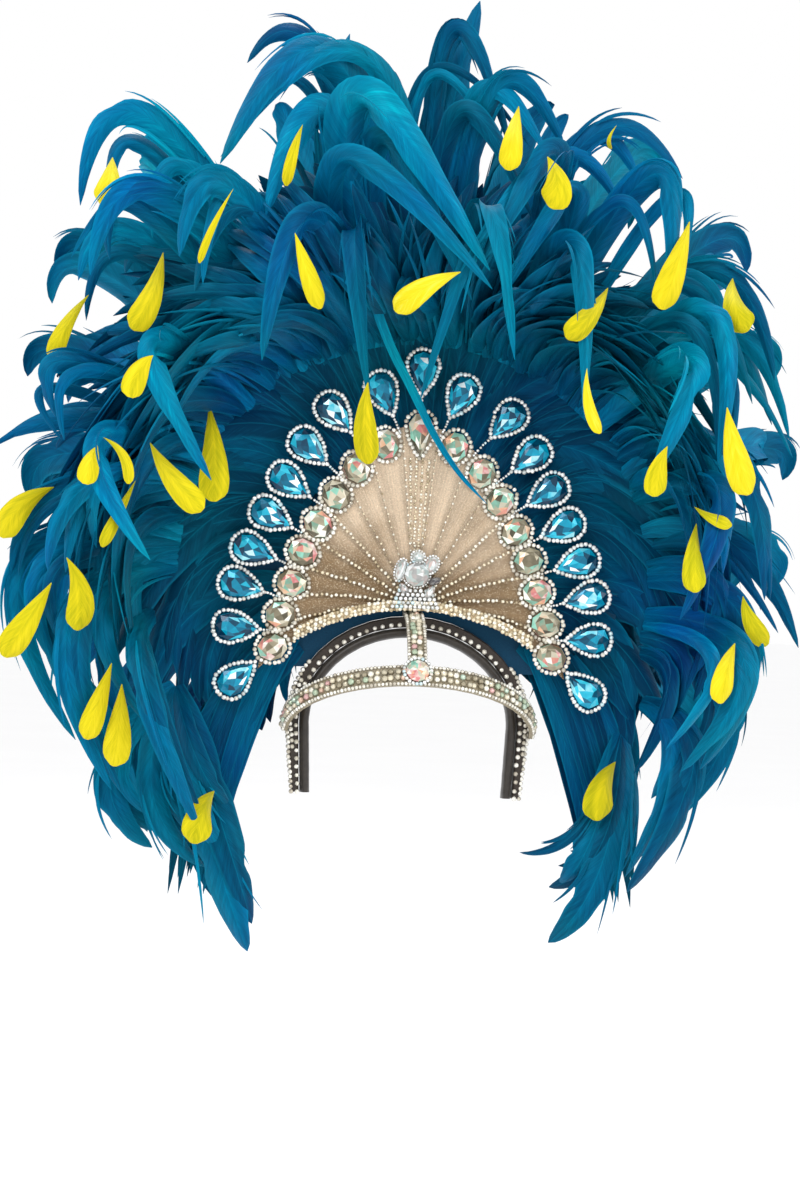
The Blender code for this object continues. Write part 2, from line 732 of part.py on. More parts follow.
# Petals of the ornament: place in shares of its width and height, angle, length and width in shares of
# its height
Petal = namedtuple("Petal", "across up angle length width")
PETALS = [
    Petal(0.0, -0.02, 90, 0.40, 0.34),
    Petal(0.05, 0.34, 80, 0.34, 0.20),
    Petal(-0.26, 0.22, 125, 0.34, 0.20),
    Petal(0.30, 0.18, 50, 0.34, 0.20),
    Petal(-0.34, -0.10, 175, 0.28, 0.18),
    Petal(0.34, -0.12, 5, 0.28, 0.18),
    Petal(0.0, -0.36, 90, 0.26, 0.34),
]


def make_ornament():
    low = FAN_DATUM_Z + TRIM_LOW_HEIGHT + ORNAMENT_HEIGHT / 2
    place = Vector((0, 0, low))
    back = TRIM_FRONT - GAP
    base_outline = oval_outline(ORNAMENT_HEIGHT * 0.88, ORNAMENT_WIDTH * 0.80, INNER_SIDES)
    rings = [(base_outline, 0.0), (base_outline, STONE_BEZEL * 0.6)]
    sections = [[Vector((x, y, height)) for x, y in ring] for ring, height in rings]
    base = mesh_object("centre_ornament", *loft(sections), "clear")
    face_front(base, place, back, pi / 2)
    petals = []
    for index, petal in enumerate(PETALS):
        length = petal.length * ORNAMENT_HEIGHT
        width = petal.width * ORNAMENT_HEIGHT
        outline = oval_outline(length, width, 8)
        foot = [(x * 0.8, y * 0.8) for x, y in outline]
        table = [(x * 0.4, y * 0.4) for x, y in outline]
        lift = STONE_BEZEL * (0.20 + 0.01 * index)
        heights = [(outline, lift), (outline, lift + STONE_BEZEL), (foot, lift + STONE_BEZEL * 1.2)]
        heights.append((table, lift + STONE_BEZEL + STONE_CROWN * 0.6))
        rings = [[Vector((x, y, height)) for x, y in ring] for ring, height in heights]
        guide = mesh_object(f"petal_{index}", *loft(rings), "clear", GUIDES)
        mark_guide(guide)
        centre = place + Vector((petal.across * ORNAMENT_WIDTH, 0, petal.up * ORNAMENT_HEIGHT))
        face_front(guide, centre, back, radians(petal.angle))
        petals.append(guide)
    fuse(base, petals)


# Backing panel


def make_backing_panel():
    """A panel that stands on the hoop's rim and spreads out round the hub."""
    rim_middle = hoop_path(RIM_INNER + RIM_THICKNESS / 2, RIM_INNER + RIM_FOOT_THICKNESS / 2)
    rim_arch = rim_middle[LEG_STEPS + PANEL_FOOT_STEPS:-LEG_STEPS - PANEL_FOOT_STEPS]
    outline = []
    for point, normal in reversed(rim_arch):
        seat = point + normal * (RIM_THICKNESS / 2 + GAP)
        outline.append((seat.x, seat.z))
    arc_steps = 18
    for step in range(arc_steps + 1):
        turn = between(radians(206), radians(-26), step / arc_steps)
        outline.append((PANEL_RADIUS * cos(turn), HUB_HEIGHT + PANEL_RADIUS * sin(turn)))
    curve = bpy.data.curves.new("backing_panel", "CURVE")
    curve.dimensions = "2D"
    curve.fill_mode = "BOTH"
    curve.extrude = PANEL_THICKNESS / 2
    spline = curve.splines.new("POLY")
    spline.points.add(len(outline) - 1)
    for point, (across, height) in zip(spline.points, outline):
        point.co = (across, height, 0, 1)
    spline.use_cyclic_u = True
    curve.materials.append(MATERIALS["felt"])
    item = bpy.data.objects.new("backing_panel", curve)
    item.location = (0, PANEL_THICKNESS / 2, 0)
    item.rotation_euler = (pi / 2, 0, 0)
    PARTS.objects.link(item)


# Feathers


def pad_outer(bearing):
    """The pad's outer radius at a bearing, from its outline table."""
    for low, high in zip(PAD_OUTLINE, PAD_OUTLINE[1:]):
        if bearing <= high.bearing:
            share = (bearing - low.bearing) / (high.bearing - low.bearing)
            smooth = (1 - cos(pi * share)) / 2
            return PLUME_REACH * between(low.outer, high.outer, smooth)
    return PLUME_REACH * PAD_OUTLINE[-1].outer


def hub_point(bearing, radius, depth):
    turn = radians(bearing)
    return Vector((radius * cos(turn), depth, HUB_HEIGHT + radius * sin(turn)))


def make_pad(name, face, thickness, profile, reach):
    """A lobed pad of feathers round the hub; face is its flat side's depth, reach its way out."""
    way = 1 if reach > 0 else -1
    first, last = PAD_OUTLINE[0].bearing, PAD_OUTLINE[-1].bearing
    count = round((last - first) / PAD_STEP)
    inner = PAD_INNER_RADIUS
    clear = CLEAR_RADIUS if reach < 0 else inner
    sections = []
    for index in range(count + 1):
        bearing = between(first, last, index / count)
        lobe = 1 + PAD_LOBE * (1 if index % 2 else -1)
        outer = pad_outer(bearing)
        ring = [hub_point(bearing, inner, face), hub_point(bearing, inner, face + way * thickness)]
        for point in profile:
            swell = max(abs(reach) * point.swell * lobe, thickness)
            radius = between(clear, outer * lobe, point.along)
            ring.append(hub_point(bearing, radius, face + way * swell))
        ring.append(hub_point(bearing, outer * lobe, face + way * thickness))
        ring.append(hub_point(bearing, outer * lobe * 0.97, face))
        sections.append(ring)
    return mesh_object(name, *loft(sections), "feather")


def seen(x, z, depth):
    """The place at a depth that the view shows at x and z from the crown seat."""
    back = Vector((sin(VIEW_AZIMUTH), -cos(VIEW_AZIMUTH), 0))
    level = Vector((cos(VIEW_AZIMUTH), sin(VIEW_AZIMUTH), 0))
    rise = Vector((0, 0, 1))
    right = level * cos(VIEW_ROLL) + rise * sin(VIEW_ROLL)
    up = rise * cos(VIEW_ROLL) - level * sin(VIEW_ROLL)
    eye = back * VIEW_DISTANCE - right * CROWN_SEEN_X - up * CROWN_SEEN_Z
    ray = right * (x + CROWN_SEEN_X) + up * (z + CROWN_SEEN_Z) - back * VIEW_DISTANCE
    return eye + ray * ((depth - eye.y) / ray.y)


def feather_curve(feather, face, reach):
    """Root, control point and tip of a feather's shaft."""
    way = 1 if reach > 0 else -1
    radius = ROOT_RADIUS if reach > 0 else CLEAR_RADIUS + FEATHER_WIDTH * 0.1
    root = hub_point(feather.bearing, radius, face + way * FRONT_PAD_DEPTH * 0.5)
    tip_depth = reach * feather.tip_depth
    control_depth = 2 * reach * feather.arch_depth - (root.y + tip_depth) / 2
    far = hub_point(feather.bearing, ROOT_RADIUS + PLUME_REACH * feather.lead, 0)
    control = seen(far.x, far.z, control_depth)
    tip = seen(PLUME_REACH * feather.tip_x, FAN_DATUM_Z + PLUME_REACH * feather.tip_z, tip_depth)
    return root, control, tip


def shaft_points(feather, face, reach):
    """Points along a shaft, closer together where it bends."""
    root, control, tip = feather_curve(feather, face, reach)
    fine = [quadratic(root, control, tip, step / FINE_STEPS) for step in range(FINE_STEPS + 1)]
    measure = [0.0]
    before = None
    for start, end in zip(fine, fine[1:]):
        along = end - start
        bend = before.angle(along) if before else 0.0
        measure.append(measure[-1] + along.length + bend * BEND_SPACING)
        before = along
    points = [root]
    for step in range(1, FEATHER_STEPS):
        wanted = measure[-1] * step / FEATHER_STEPS
        index = next(place for place, value in enumerate(measure) if value >= wanted)
        points.append(fine[index])
    return points + [tip]


def strip_sections(points, widths, twist, facing):
    """Four-sided sections of a flat strip along its points, carried along its shaft without a flip."""
    sections = []
    last = len(points) - 1
    side = None
    before = None
    for index, (point, width) in enumerate(zip(points, widths)):
        along = (points[min(index + 1, last)] - points[max(index - 1, 0)]).normalized()
        if side is None:
            side = along.cross(facing).normalized()
        else:
            side.rotate(before.rotation_difference(along))
        before = along
        turn = twist * min(1.0, 2.5 * index / last)
        up = side.cross(along).normalized()
        across = side * cos(turn) + up * sin(turn)
        thick = along.cross(across).normalized() * (FEATHER_THICKNESS / 2)
        half = across * (width / 2)
        sections.append([point - half, point - thick, point + half, point + thick])
    return sections


# Feather outline from root to tip: share of the full width, and the turns of a strip on its shaft
STRIP_WIDTHS = [0.60, 0.90, 1.00, 1.00, 0.90, 0.62, 0.20]
STRIP_TURNS = [25, -30, 8, -14]


def feather_strip(name, feather, face, reach, number):
    points = shaft_points(feather, face, reach)
    width = FEATHER_WIDTH * feather.width
    widths = [width * share for share in STRIP_WIDTHS]
    turn = radians(STRIP_TURNS[number % len(STRIP_TURNS)])
    facing = Vector((0, -1 if reach < 0 else 1, 0))
    item = mesh_object(name, *loft(strip_sections(points, widths, turn, facing)), "feather", GUIDES)
    mark_guide(item)
    return item


def nearest_shaft(x, z, face):
    """The point on a front feather's shaft that is nearest to a place as seen from the front."""
    best = None
    for feather in FRONT_FEATHERS:
        for point in shaft_points(feather, face, -FRONT_REACH)[2:-1]:
            far = hypot(point.x - x, point.z - z)
            if best is None or far < best[0]:
                best = (far, point)
    return best[1]


# A yellow tip's leaf: share of its length, share of its width
LeafSection = namedtuple("LeafSection", "along width")
LEAF = [LeafSection(0.25, 0.62), LeafSection(0.65, 1.0), LeafSection(1.0, 0.30)]


def yellow_strip(number, tip, face):
    """A yellow tip and the short stem that it hangs on."""
    hang = radians(tip.hang)
    x = PLUME_REACH * tip.x
    z = FAN_DATUM_Z + PLUME_REACH * tip.z
    way = Vector((cos(hang), 0, sin(hang)))
    above = seen(x, z, -FRONT_REACH / 2) - way * YELLOW_STEM_LENGTH
    seat = nearest_shaft(above.x, above.z, face)
    end = seen(x, z, seat.y - YELLOW_STAND_OFF)
    points = [seat]
    widths = [YELLOW_STEM_WIDTH]
    for section in LEAF:
        points.append(end + way * YELLOW_LENGTH * tip.size * section.along)
        widths.append(YELLOW_WIDTH * tip.size * section.width)
    twist = radians((15, -20, 0)[number % 3])
    sections = strip_sections(points, widths, twist, Vector((0, -1, 0)))
    item = mesh_object(f"yellow_tip_{number:02d}", *loft(sections), "feather", GUIDES)
    mark_guide(item)
    return item


def make_plumes():
    front_face = -GAP
    back_face = PANEL_THICKNESS + GAP
    front = make_pad("plume_front", front_face, FRONT_PAD_DEPTH, FRONT_PAD, -FRONT_REACH)
    strips = []
    for number, feather in enumerate(FRONT_FEATHERS):
        strips.append(feather_strip(f"front_{number:02d}", feather, front_face, -FRONT_REACH, number))
    for number, tip in enumerate(YELLOW_TIPS):
        strips.append(yellow_strip(number, tip, front_face))
    fuse(front, strips, "MANIFOLD")
    close_pockets(front)
    back = make_pad("plume_back", back_face, BACK_PAD_DEPTH, BACK_PAD, BACK_REACH)
    strips = []
    for number, feather in enumerate(BACK_FEATHERS):
        strips.append(feather_strip(f"back_{number:02d}", feather, back_face, BACK_REACH, number))
    fuse(back, strips, "MANIFOLD")
    close_pockets(back)


def build():
    make_hoop()
    make_forehead_band()
    make_centre_strap()
    make_forehead_stone()
    make_fan_plate()
    make_fan_trim()
    make_inner_stones()
    make_drop_stones()
    make_ornament()
    make_backing_panel()
    make_plumes()


build()
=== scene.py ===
"""Looks of the showgirl feather headdress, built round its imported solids.

Metres, in the part's frame: +X to the viewer's right, the front looks to -Y, +Z is up, and the origin
is the crown seat, the underside of the hoop's pad at the top of the head.
"""

from collections import namedtuple
from math import atan2, cos, pi, radians, sin, sqrt

import bmesh
import bpy
import numpy as np
from mathutils import Matrix, Vector


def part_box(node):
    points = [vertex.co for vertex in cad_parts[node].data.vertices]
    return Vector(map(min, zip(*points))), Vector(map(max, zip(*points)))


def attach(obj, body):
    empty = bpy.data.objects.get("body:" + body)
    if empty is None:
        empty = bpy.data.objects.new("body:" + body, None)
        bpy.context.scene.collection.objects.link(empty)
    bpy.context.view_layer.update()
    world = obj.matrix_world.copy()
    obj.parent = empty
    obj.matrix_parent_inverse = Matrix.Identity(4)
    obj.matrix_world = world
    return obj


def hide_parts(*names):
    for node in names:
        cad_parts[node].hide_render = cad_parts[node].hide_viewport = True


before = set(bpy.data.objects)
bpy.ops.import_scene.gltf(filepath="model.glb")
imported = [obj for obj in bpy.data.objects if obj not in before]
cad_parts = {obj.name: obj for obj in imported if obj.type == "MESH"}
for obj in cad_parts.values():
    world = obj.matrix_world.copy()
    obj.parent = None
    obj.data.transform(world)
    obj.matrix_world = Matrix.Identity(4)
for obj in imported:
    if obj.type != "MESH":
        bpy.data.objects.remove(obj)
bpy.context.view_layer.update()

SEED = 7

# View: the crown seat's place in it is measured from its centre
VIEW_AZIMUTH = radians(-5)
VIEW_ROLL = radians(2.2)
VIEW_DISTANCE = 2.10
CROWN_SEEN_X = 0.00814
CROWN_SEEN_Z = -0.02849
LENS = 85
SENSOR = 36

# Head hoop, band and strap, as the solids have them
HEAD_HALF_WIDTH = 0.073
HEAD_RISE = 0.064
LEG_LENGTH = 0.052
LEG_LEAN = 0.0022
PAD_THICKNESS = 0.008
PAD_WIDTH = 0.016
PAD_SIDES = 20
PAD_ROUNDNESS = 0.7
GAP = 0.0003
RIM_THICKNESS = 0.008
RIM_FOOT_THICKNESS = 0.005
RIM_WIDTH = 0.009
RIM_INNER = PAD_THICKNESS + GAP
RIM_OUTER = RIM_INNER + RIM_THICKNESS
BAND_DEPTH = 0.056
BAND_SIDE_RUN = 0.012
BAND_RISE = 0.038
BAND_HEIGHT = 0.0155
BAND_THICKNESS = 0.0025
BAND_LEAN = radians(25)
BAND_STEPS = 80
STRAP_WIDTH = 0.0138
STRAP_THICKNESS = 0.0024

# Fan and stones, as the solids have them
FAN_HALF_WIDTH = 0.1031
FAN_HEIGHT = 0.1572
FAN_DATUM_Z = -0.007
FAN_APEX_HEIGHT = 0.030
FAN_RIM_MARGIN = 0.007
FAN_LOW_RIB_BOW = 0.012
FAN_FRONT = -0.0140
PLEAT_FRONT = -0.0165
TRIM_FRONT = PLEAT_FRONT - 0.0030
TRIM_LOW_HEIGHT = 0.028
TRIM_RADIUS = 0.1658
TRIM_WIDTH = 0.007
INNER_LENGTH = 0.025
INNER_WIDTH = 0.022
CENTRE_LENGTH = 0.036
CENTRE_WIDTH = 0.0225
DROP_LENGTH = 0.035
DROP_WIDTH = 0.024
STEM_START = 0.005
GEM_BASE = 0.0016
GEM_HEIGHT = 0.0032
ORNAMENT_GEM_HEIGHT = 0.0042
FOREHEAD_GEM_HEIGHT = 0.0034
FOREHEAD_GEM = 0.0172
FOREHEAD_RING = 0.0200

# Beads
SURROUND_BEAD = 0.0034
INNER_BEAD = 0.0034
RIB_BEAD = 0.0027
CENTRE_RIB_BEAD = 0.0021
CENTRE_RIB_SPACING = 0.0026
TRIM_BEAD = 0.0033
TRIM_SPACING = 0.0034
TRIM_ROWS = 3
TRIM_STEPS = 40
RIM_BEAD = 0.0034
STEM_BEAD = 0.0021
STEM_SPACING = 0.0024
RING_LIFT = 0.0018
STEM_LIFT = 0.0014
FINE_PLEATS = 3
FINE_PLEAT_DEPTH = 0.0007
FINE_RIBS = 3
CENTRE_RIBS = (-0.0052, -0.0018, 0.0018, 0.0052)
SECTOR_COLUMNS = 12
CLOTH_ROWS = 26
CLOTH_START = 0.06
CLOTH_RUN = 0.955
CLOTH_LIFT = 0.0002
CLOTH_BACK = 0.0012

# Feathers
HUB_HEIGHT = 0.043
PLUME_REACH = 0.296
FRONT_REACH = 0.130
BACK_REACH = 0.165
ROOT_RADIUS = 0.120
FRONT_ROOT_RADIUS = 0.174
TABLE_ROWS = 36
FEATHER_WIDTH = 0.023
BACK_BROADER = 1.25
FRONT_ROOT_DEPTH = -0.006
BACK_ROOT_DEPTH = 0.016
YELLOW_LENGTH = 0.038
YELLOW_WIDTH = 0.01488
BARB_LENGTH = 0.022
WISPS = 5
WISP_STARTS = (0.15, 0.6)
WISP_LENGTHS = (0.30, 0.50)
WISP_LIMIT = 0.86
WISP_LEAVES_AT = 0.36
WISP_WIDTHS = (0.0015, 0.0035)
COMPANIONS = 2
PLUME_MIDDLE = 0.17
OUTER_TIP = 0.75
STRAY = 0.07
LOW_STRAY = 0.03
LOW_TIP = -0.4
LOW_DARKER = 0.16
DROP_CLEARANCE = 0.018
LOWEST_RIGHT = -34
LOWEST_LEFT = 206
YELLOW_ROWS = 18
YELLOW_LIMIT = -FRONT_REACH * 1.08
YELLOW_CLEARANCE = 0.007
YELLOW_BULGE = 0.014
BARE_SHAFT = 9
CARRIER_SEARCH = 0.013
COVER_SEARCH = 0.019


def rows_of(kind, rows):
    return [kind(*row) for row in rows]


# Inner stones and drops from the lowest of a side up to the top: shares of the fan's half width and height
StonePlace = namedtuple("StonePlace", "across up")
INNER_STONES = rows_of(StonePlace, [
    (1.00, -0.02),
    (0.95, 0.135),
    (0.88, 0.283),
    (0.81, 0.43),
    (0.71, 0.564),
    (0.59, 0.703),
    (0.45, 0.831),
    (0.25, 0.948),
    (0.00, 1.00),
])
DROP_STONES = rows_of(StonePlace, [
    (1.244, -0.166),
    (1.261, 0.069),
    (1.238, 0.265),
    (1.158, 0.429),
    (1.043, 0.594),
    (0.923, 0.754),
    (0.790, 0.917),
    (0.616, 1.083),
    (0.276, 1.184),
    (0.00, 1.290),
])

# Feathers as the view sees them: bearing in degrees round the hub, tip and lead in shares of PLUME_REACH,
# depth at the arch and the tip in shares of the front or back reach, width as a share of FEATHER_WIDTH
Feather = namedtuple("Feather", "bearing tip_x tip_z lead arch_depth tip_depth width")
FRONT_FEATHERS = rows_of(Feather, [
    (235, -0.41, -0.76, 0.46, 0.40, 0.30, 1.45),
    (223, -0.45, -0.53, 0.40, 0.45, 0.35, 1.10),
    (217, -0.515, -0.548, 0.53, 0.35, 0.20, 1.10),
    (210, -0.648, -0.50, 0.62, 0.30, 0.25, 1.15),
    (170, -0.84, -0.23, 0.85, 0.30, 0.25, 1.10),
    (190, -0.53, -0.455, 0.36, 0.85, 0.75, 1.00),
    (172, -0.88, -0.055, 0.70, 0.55, 0.45, 1.00),
    (178, -0.75, -0.355, 0.65, 0.60, 0.55, 1.10),
    (150, -1.02, 0.525, 0.54, 0.25, 0.20, 0.90),
    (160, -1.00, 0.19, 0.60, 0.35, 0.35, 0.95),
    (158, -0.91, 0.195, 0.55, 0.75, 0.70, 0.80),
    (145, -0.89, 0.578, 0.85, 0.60, 0.60, 0.85),
    (116, -0.828, 1.108, 1.34, 0.35, 0.35, 1.10),
    (119, -0.803, 0.933, 1.09, 0.70, 0.70, 1.20),
    (125, -0.833, 0.92, 0.95, 0.25, 0.20, 1.00),
    (97, -0.41, 1.465, 1.24, 0.30, 0.25, 0.95),
    (104, -0.153, 1.538, 0.70, 0.20, 0.15, 0.80),
    (94, -0.478, 1.213, 1.40, 0.60, 0.75, 1.40),
    (88, 0.173, 1.62, 0.60, 0.20, 0.10, 1.60),
    (89, 0.255, 1.230, 1.48, 0.30, 0.45, 0.75),
    (84, 0.385, 1.245, 1.20, 0.55, 0.60, 1.00),
    (73, 0.68, 1.175, 1.08, 0.25, 0.20, 0.90),
    (63, 0.648, 0.87, 1.20, 0.60, 0.65, 1.10),
    (53, 0.91, 0.67, 0.95, 0.40, 0.40, 0.95),
    (101, 0.198, 0.945, 1.37, 0.80, 0.95, 1.60),
    (70, 0.173, 0.958, 1.15, 0.70, 0.85, 1.10),
    (46, 0.948, 0.52, 0.82, 0.25, 0.25, 0.85),
    (48, 0.768, 0.458, 0.94, 0.75, 0.80, 1.00),
    (28, 0.885, 0.12, 0.63, 0.45, 0.45, 1.10),
    (14, 0.97, 0.00, 0.46, 0.25, 0.20, 0.95),
    (2, 0.828, -0.18, 0.52, 0.55, 0.50, 1.00),
    (-26, 0.54, -0.613, 0.53, 0.65, 0.45, 1.25),
    (-56, 0.343, -0.738, 0.53, 0.40, 0.25, 1.25),
    (-52, 0.38, -0.588, 0.57, 0.30, 0.20, 0.85),
    (-14, 0.635, -0.455, 0.60, 0.35, 0.30, 1.10),
    (-6, 0.723, -0.305, 0.62, 0.80, 0.75, 1.10),
    (102, -0.373, 0.72, 0.88, 0.85, 0.98, 1.15),
    (99, -0.103, 0.62, 0.87, 0.75, 0.80, 0.85),
    (78, 0.023, 0.62, 0.86, 0.80, 0.85, 0.60),
    (82, 0.26, 0.72, 0.94, 0.85, 0.95, 0.85),
    (69, 0.435, 0.57, 0.91, 0.80, 0.90, 0.90),
    (135, -0.50, 0.42, 0.80, 0.95, 0.90, 1.10),
    (152, -0.653, 0.22, 0.72, 0.90, 0.95, 1.10),
    (42, 0.598, 0.42, 0.78, 0.92, 0.92, 1.10),
    (22, 0.673, 0.07, 0.60, 0.85, 0.85, 1.10),
    (112, -0.58, 0.98, 1.00, 0.85, 0.80, 1.15),
    (-57, 0.272, -0.512, 0.43, 0.35, 0.25, 0.40),
])
BACK_FEATHERS = rows_of(Feather, [
    (-30, 0.45, -0.55, 0.30, 0.45, 0.40, 1.20),
    (-16, 0.66, -0.38, 0.50, 0.60, 0.55, 1.20),
    (-4, 0.80, -0.10, 0.55, 0.55, 0.60, 1.20),
    (10, 0.90, 0.15, 0.60, 0.70, 0.80, 1.20),
    (24, 0.93, 0.42, 0.70, 0.60, 0.70, 1.20),
    (38, 0.90, 0.66, 0.80, 0.80, 0.90, 1.20),
    (52, 0.84, 0.94, 0.95, 0.60, 0.70, 1.20),
    (66, 0.62, 1.16, 1.00, 0.75, 0.95, 1.20),
    (79, 0.36, 1.36, 0.80, 0.45, 0.50, 1.20),
    (92, -0.05, 1.45, 0.70, 0.70, 0.80, 1.20),
    (104, -0.34, 1.36, 0.80, 0.50, 0.60, 1.20),
    (117, -0.66, 1.20, 1.05, 0.75, 0.90, 1.20),
    (130, -0.88, 0.92, 0.95, 0.55, 0.65, 1.20),
    (143, -0.96, 0.68, 0.80, 0.80, 0.90, 1.20),
    (156, -0.94, 0.36, 0.70, 0.60, 0.70, 1.20),
    (169, -0.92, 0.08, 0.62, 0.75, 0.85, 1.20),
    (182, -0.80, -0.22, 0.58, 0.55, 0.55, 1.20),
    (195, -0.66, -0.46, 0.48, 0.65, 0.60, 1.20),
    (208, -0.50, -0.62, 0.32, 0.45, 0.40, 1.20),
    (60, 0.30, 0.55, 0.80, 1.00, 1.00, 1.10),
    (90, 0.02, 0.45, 0.85, 1.00, 1.00, 1.10),
    (120, -0.30, 0.55, 0.80, 1.00, 1.00, 1.10),
    (30, 0.55, 0.20, 0.60, 1.00, 1.00, 1.10),
    (150, -0.55, 0.20, 0.60, 1.00, 1.00, 1.10),
])

# Outer edge of the dense feathers by bearing, in shares of PLUME_REACH
EDGE_BEARINGS = [
    -50, -36, -20, -3, 10, 20, 36, 50, 65, 80, 90,
    99, 110, 120, 130, 145, 158, 170, 183, 194, 209, 230,
]
EDGE_SHARES = [
    0.72, 0.76, 0.80, 0.83, 0.86, 0.90, 0.94, 0.97, 1.02, 1.12, 1.06,
    1.15, 1.17, 1.13, 1.08, 1.01, 0.95, 0.94, 0.90, 0.84, 0.74, 0.60,
]

# Yellow tips as the view sees them: the quill end in shares of PLUME_REACH, the way it hangs in degrees
# from +X, its length as a share of YELLOW_LENGTH, and how broad it is for that length
YellowTip = namedtuple("YellowTip", "x z hang size slim")
YELLOW_TIPS = rows_of(YellowTip, [
    (-0.71, 1.24, -115, 1.15, 1.15),
    (-0.63, 0.95, -115, 1.30, 1.00),
    (-0.83, 0.85, -118, 1.15, 0.80),
    (-0.63, 0.77, -117, 1.25, 0.90),
    (-0.76, 0.54, -113, 1.10, 0.90),
    (-0.745, 0.56, -76, 1.20, 0.45),
    (-0.615, 0.52, -62, 1.55, 0.80),
    (-0.495, 0.565, -90, 1.55, 0.95),
    (-0.915, 0.425, -128, 1.45, 0.95),
    (-0.70, 0.395, -117, 1.25, 0.50),
    (-0.83, 0.21, -92, 1.30, 1.05),
    (-0.90, 0.12, -130, 1.45, 0.95),
    (-0.75, -0.075, -113, 1.30, 0.85),
    (-0.72, -0.125, -99, 1.35, 1.00),
    (-0.455, -0.335, -120, 1.40, 1.05),
    (-0.46, 1.108, -116, 1.25, 0.30),
    (-0.28, 1.34, -100, 1.45, 0.40),
    (-0.26, 1.045, -80, 1.55, 0.60),
    (-0.145, 0.675, -80, 1.70, 0.70),
    (0.09, 0.957, -138, 1.35, 0.90),
    (0.2425, 1.3625, -90, 1.30, 0.85),
    (0.3775, 1.24, -102, 1.10, 1.35),
    (0.4775, 1.295, -60, 0.40, 0.60),
    (0.7025, 1.025, -112, 1.50, 0.95),
    (0.7775, 0.945, -68, 1.30, 1.10),
    (0.485, 0.895, -128, 1.20, 1.00),
    (0.4475, 0.6825, -79, 1.15, 0.55),
    (0.5975, 0.5125, -84, 1.05, 1.05),
    (0.8175, 0.575, -80, 1.50, 0.95),
    (0.6975, 0.33, -12, 0.85, 0.75),
    (0.6875, 0.29, -80, 1.20, 0.95),
    (0.8425, 0.145, -70, 1.15, 0.85),
    (0.7775, 0.04, -90, 1.40, 0.85),
    (0.5000, -0.25, -100, 1.45, 1.10),
])

# The trailing strand as the view sees it: x and z from the crown seat, and its depth
LOOSE_STRAND = [
    (-0.044, 0.339, -0.070),
    (-0.037, 0.306, -0.072),
    (-0.028, 0.250, -0.060),
    (-0.014, 0.213, -0.046),
    (0.001, 0.185, -0.036),
    (0.017, 0.150, -0.030),
    (0.036, 0.121, -0.027),
    (0.056, 0.100, -0.025),
]
STRAND_WIDTH = 0.0075
STRAND_ROWS = 60
STRAND_SMOOTHINGS = 12

FRONT = Vector((0, -1, 0))


# View


def view_axes():
    """The view's right, up and back directions."""
    back = Vector((sin(VIEW_AZIMUTH), -cos(VIEW_AZIMUTH), 0))
    level = Vector((cos(VIEW_AZIMUTH), sin(VIEW_AZIMUTH), 0))
    rise = Vector((0, 0, 1))
    right = level * cos(VIEW_ROLL) + rise * sin(VIEW_ROLL)
    up = rise * cos(VIEW_ROLL) - level * sin(VIEW_ROLL)
    return right, up, back


VIEW_RIGHT, VIEW_UP, VIEW_BACK = view_axes()
CAMERA_PLACE = VIEW_BACK * VIEW_DISTANCE - VIEW_RIGHT * CROWN_SEEN_X - VIEW_UP * CROWN_SEEN_Z


def seen(x, z, depth):
    """The place at a depth that the view shows at x and z from the crown seat."""
    ray = VIEW_RIGHT * (x + CROWN_SEEN_X) + VIEW_UP * (z + CROWN_SEEN_Z) - VIEW_BACK * VIEW_DISTANCE
    return CAMERA_PLACE + ray * ((depth - CAMERA_PLACE.y) / ray.y)


def view_places(points):
    """The x and z from the crown seat at which the view shows points, the other way round of seen."""
    rays = points - np.array(CAMERA_PLACE)
    scale = -(rays @ np.array(VIEW_BACK)) / VIEW_DISTANCE
    across = rays @ np.array(VIEW_RIGHT) / scale - CROWN_SEEN_X
    upward = rays @ np.array(VIEW_UP) / scale - CROWN_SEEN_Z
    return np.column_stack([across, upward])


# Meshes from arrays


def new_object(name, data):
    item = bpy.data.objects.new(name, data)
    bpy.context.scene.collection.objects.link(item)
    return item


def make_piece(name, points, faces, material, smooth=True, slot=None, replaces=(), **attributes):
    """A piece from arrays of points and equal-sided faces, with float attributes on points or faces."""
    points = np.asarray(points, np.float32).reshape(-1, 3)
    faces = np.asarray(faces, np.int32)
    mesh = bpy.data.meshes.new(name)
    mesh.vertices.add(len(points))
    mesh.vertices.foreach_set("co", points.ravel())
    mesh.loops.add(faces.size)
    mesh.loops.foreach_set("vertex_index", faces.ravel())
    mesh.polygons.add(len(faces))
    mesh.polygons.foreach_set("loop_start", np.arange(0, faces.size, faces.shape[1], dtype=np.int32))
    mesh.update(calc_edges=True)
    mesh.validate()
    mesh.polygons.foreach_set("use_smooth", np.full(len(faces), smooth))
    for key, values in attributes.items():
        values = np.asarray(values, np.float32)
        domain = "FACE" if len(values) == len(faces) else "POINT"
        kind = "FLOAT" if values.ndim == 1 else "FLOAT_VECTOR"
        layer = mesh.attributes.new(key, kind, domain)
        layer.data.foreach_set("value" if kind == "FLOAT" else "vector", values.ravel())
    mesh.materials.append(material)
    piece = new_object(name, mesh)
    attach(piece, "root")
    if replaces:
        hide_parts(*replaces)
    return piece


def between(ends, share):
    return ends[0] + (ends[1] - ends[0]) * share


def directions(points):
    """The direction of a line at each of its points."""
    along = np.gradient(points, axis=0)
    return along / np.linalg.norm(along, axis=1, keepdims=True)


def lengths_along(points):
    """How far along a line each of its points lies."""
    return np.concatenate([[0], np.cumsum(np.linalg.norm(np.diff(points, axis=0), axis=1))])


def grid_faces(grid):
    """Four-sided faces between the rows and columns of a grid of point numbers."""
    corners = [grid[:-1, :-1], grid[:-1, 1:], grid[1:, 1:], grid[1:, :-1]]
    return np.stack(corners, axis=2).reshape(-1, 4)


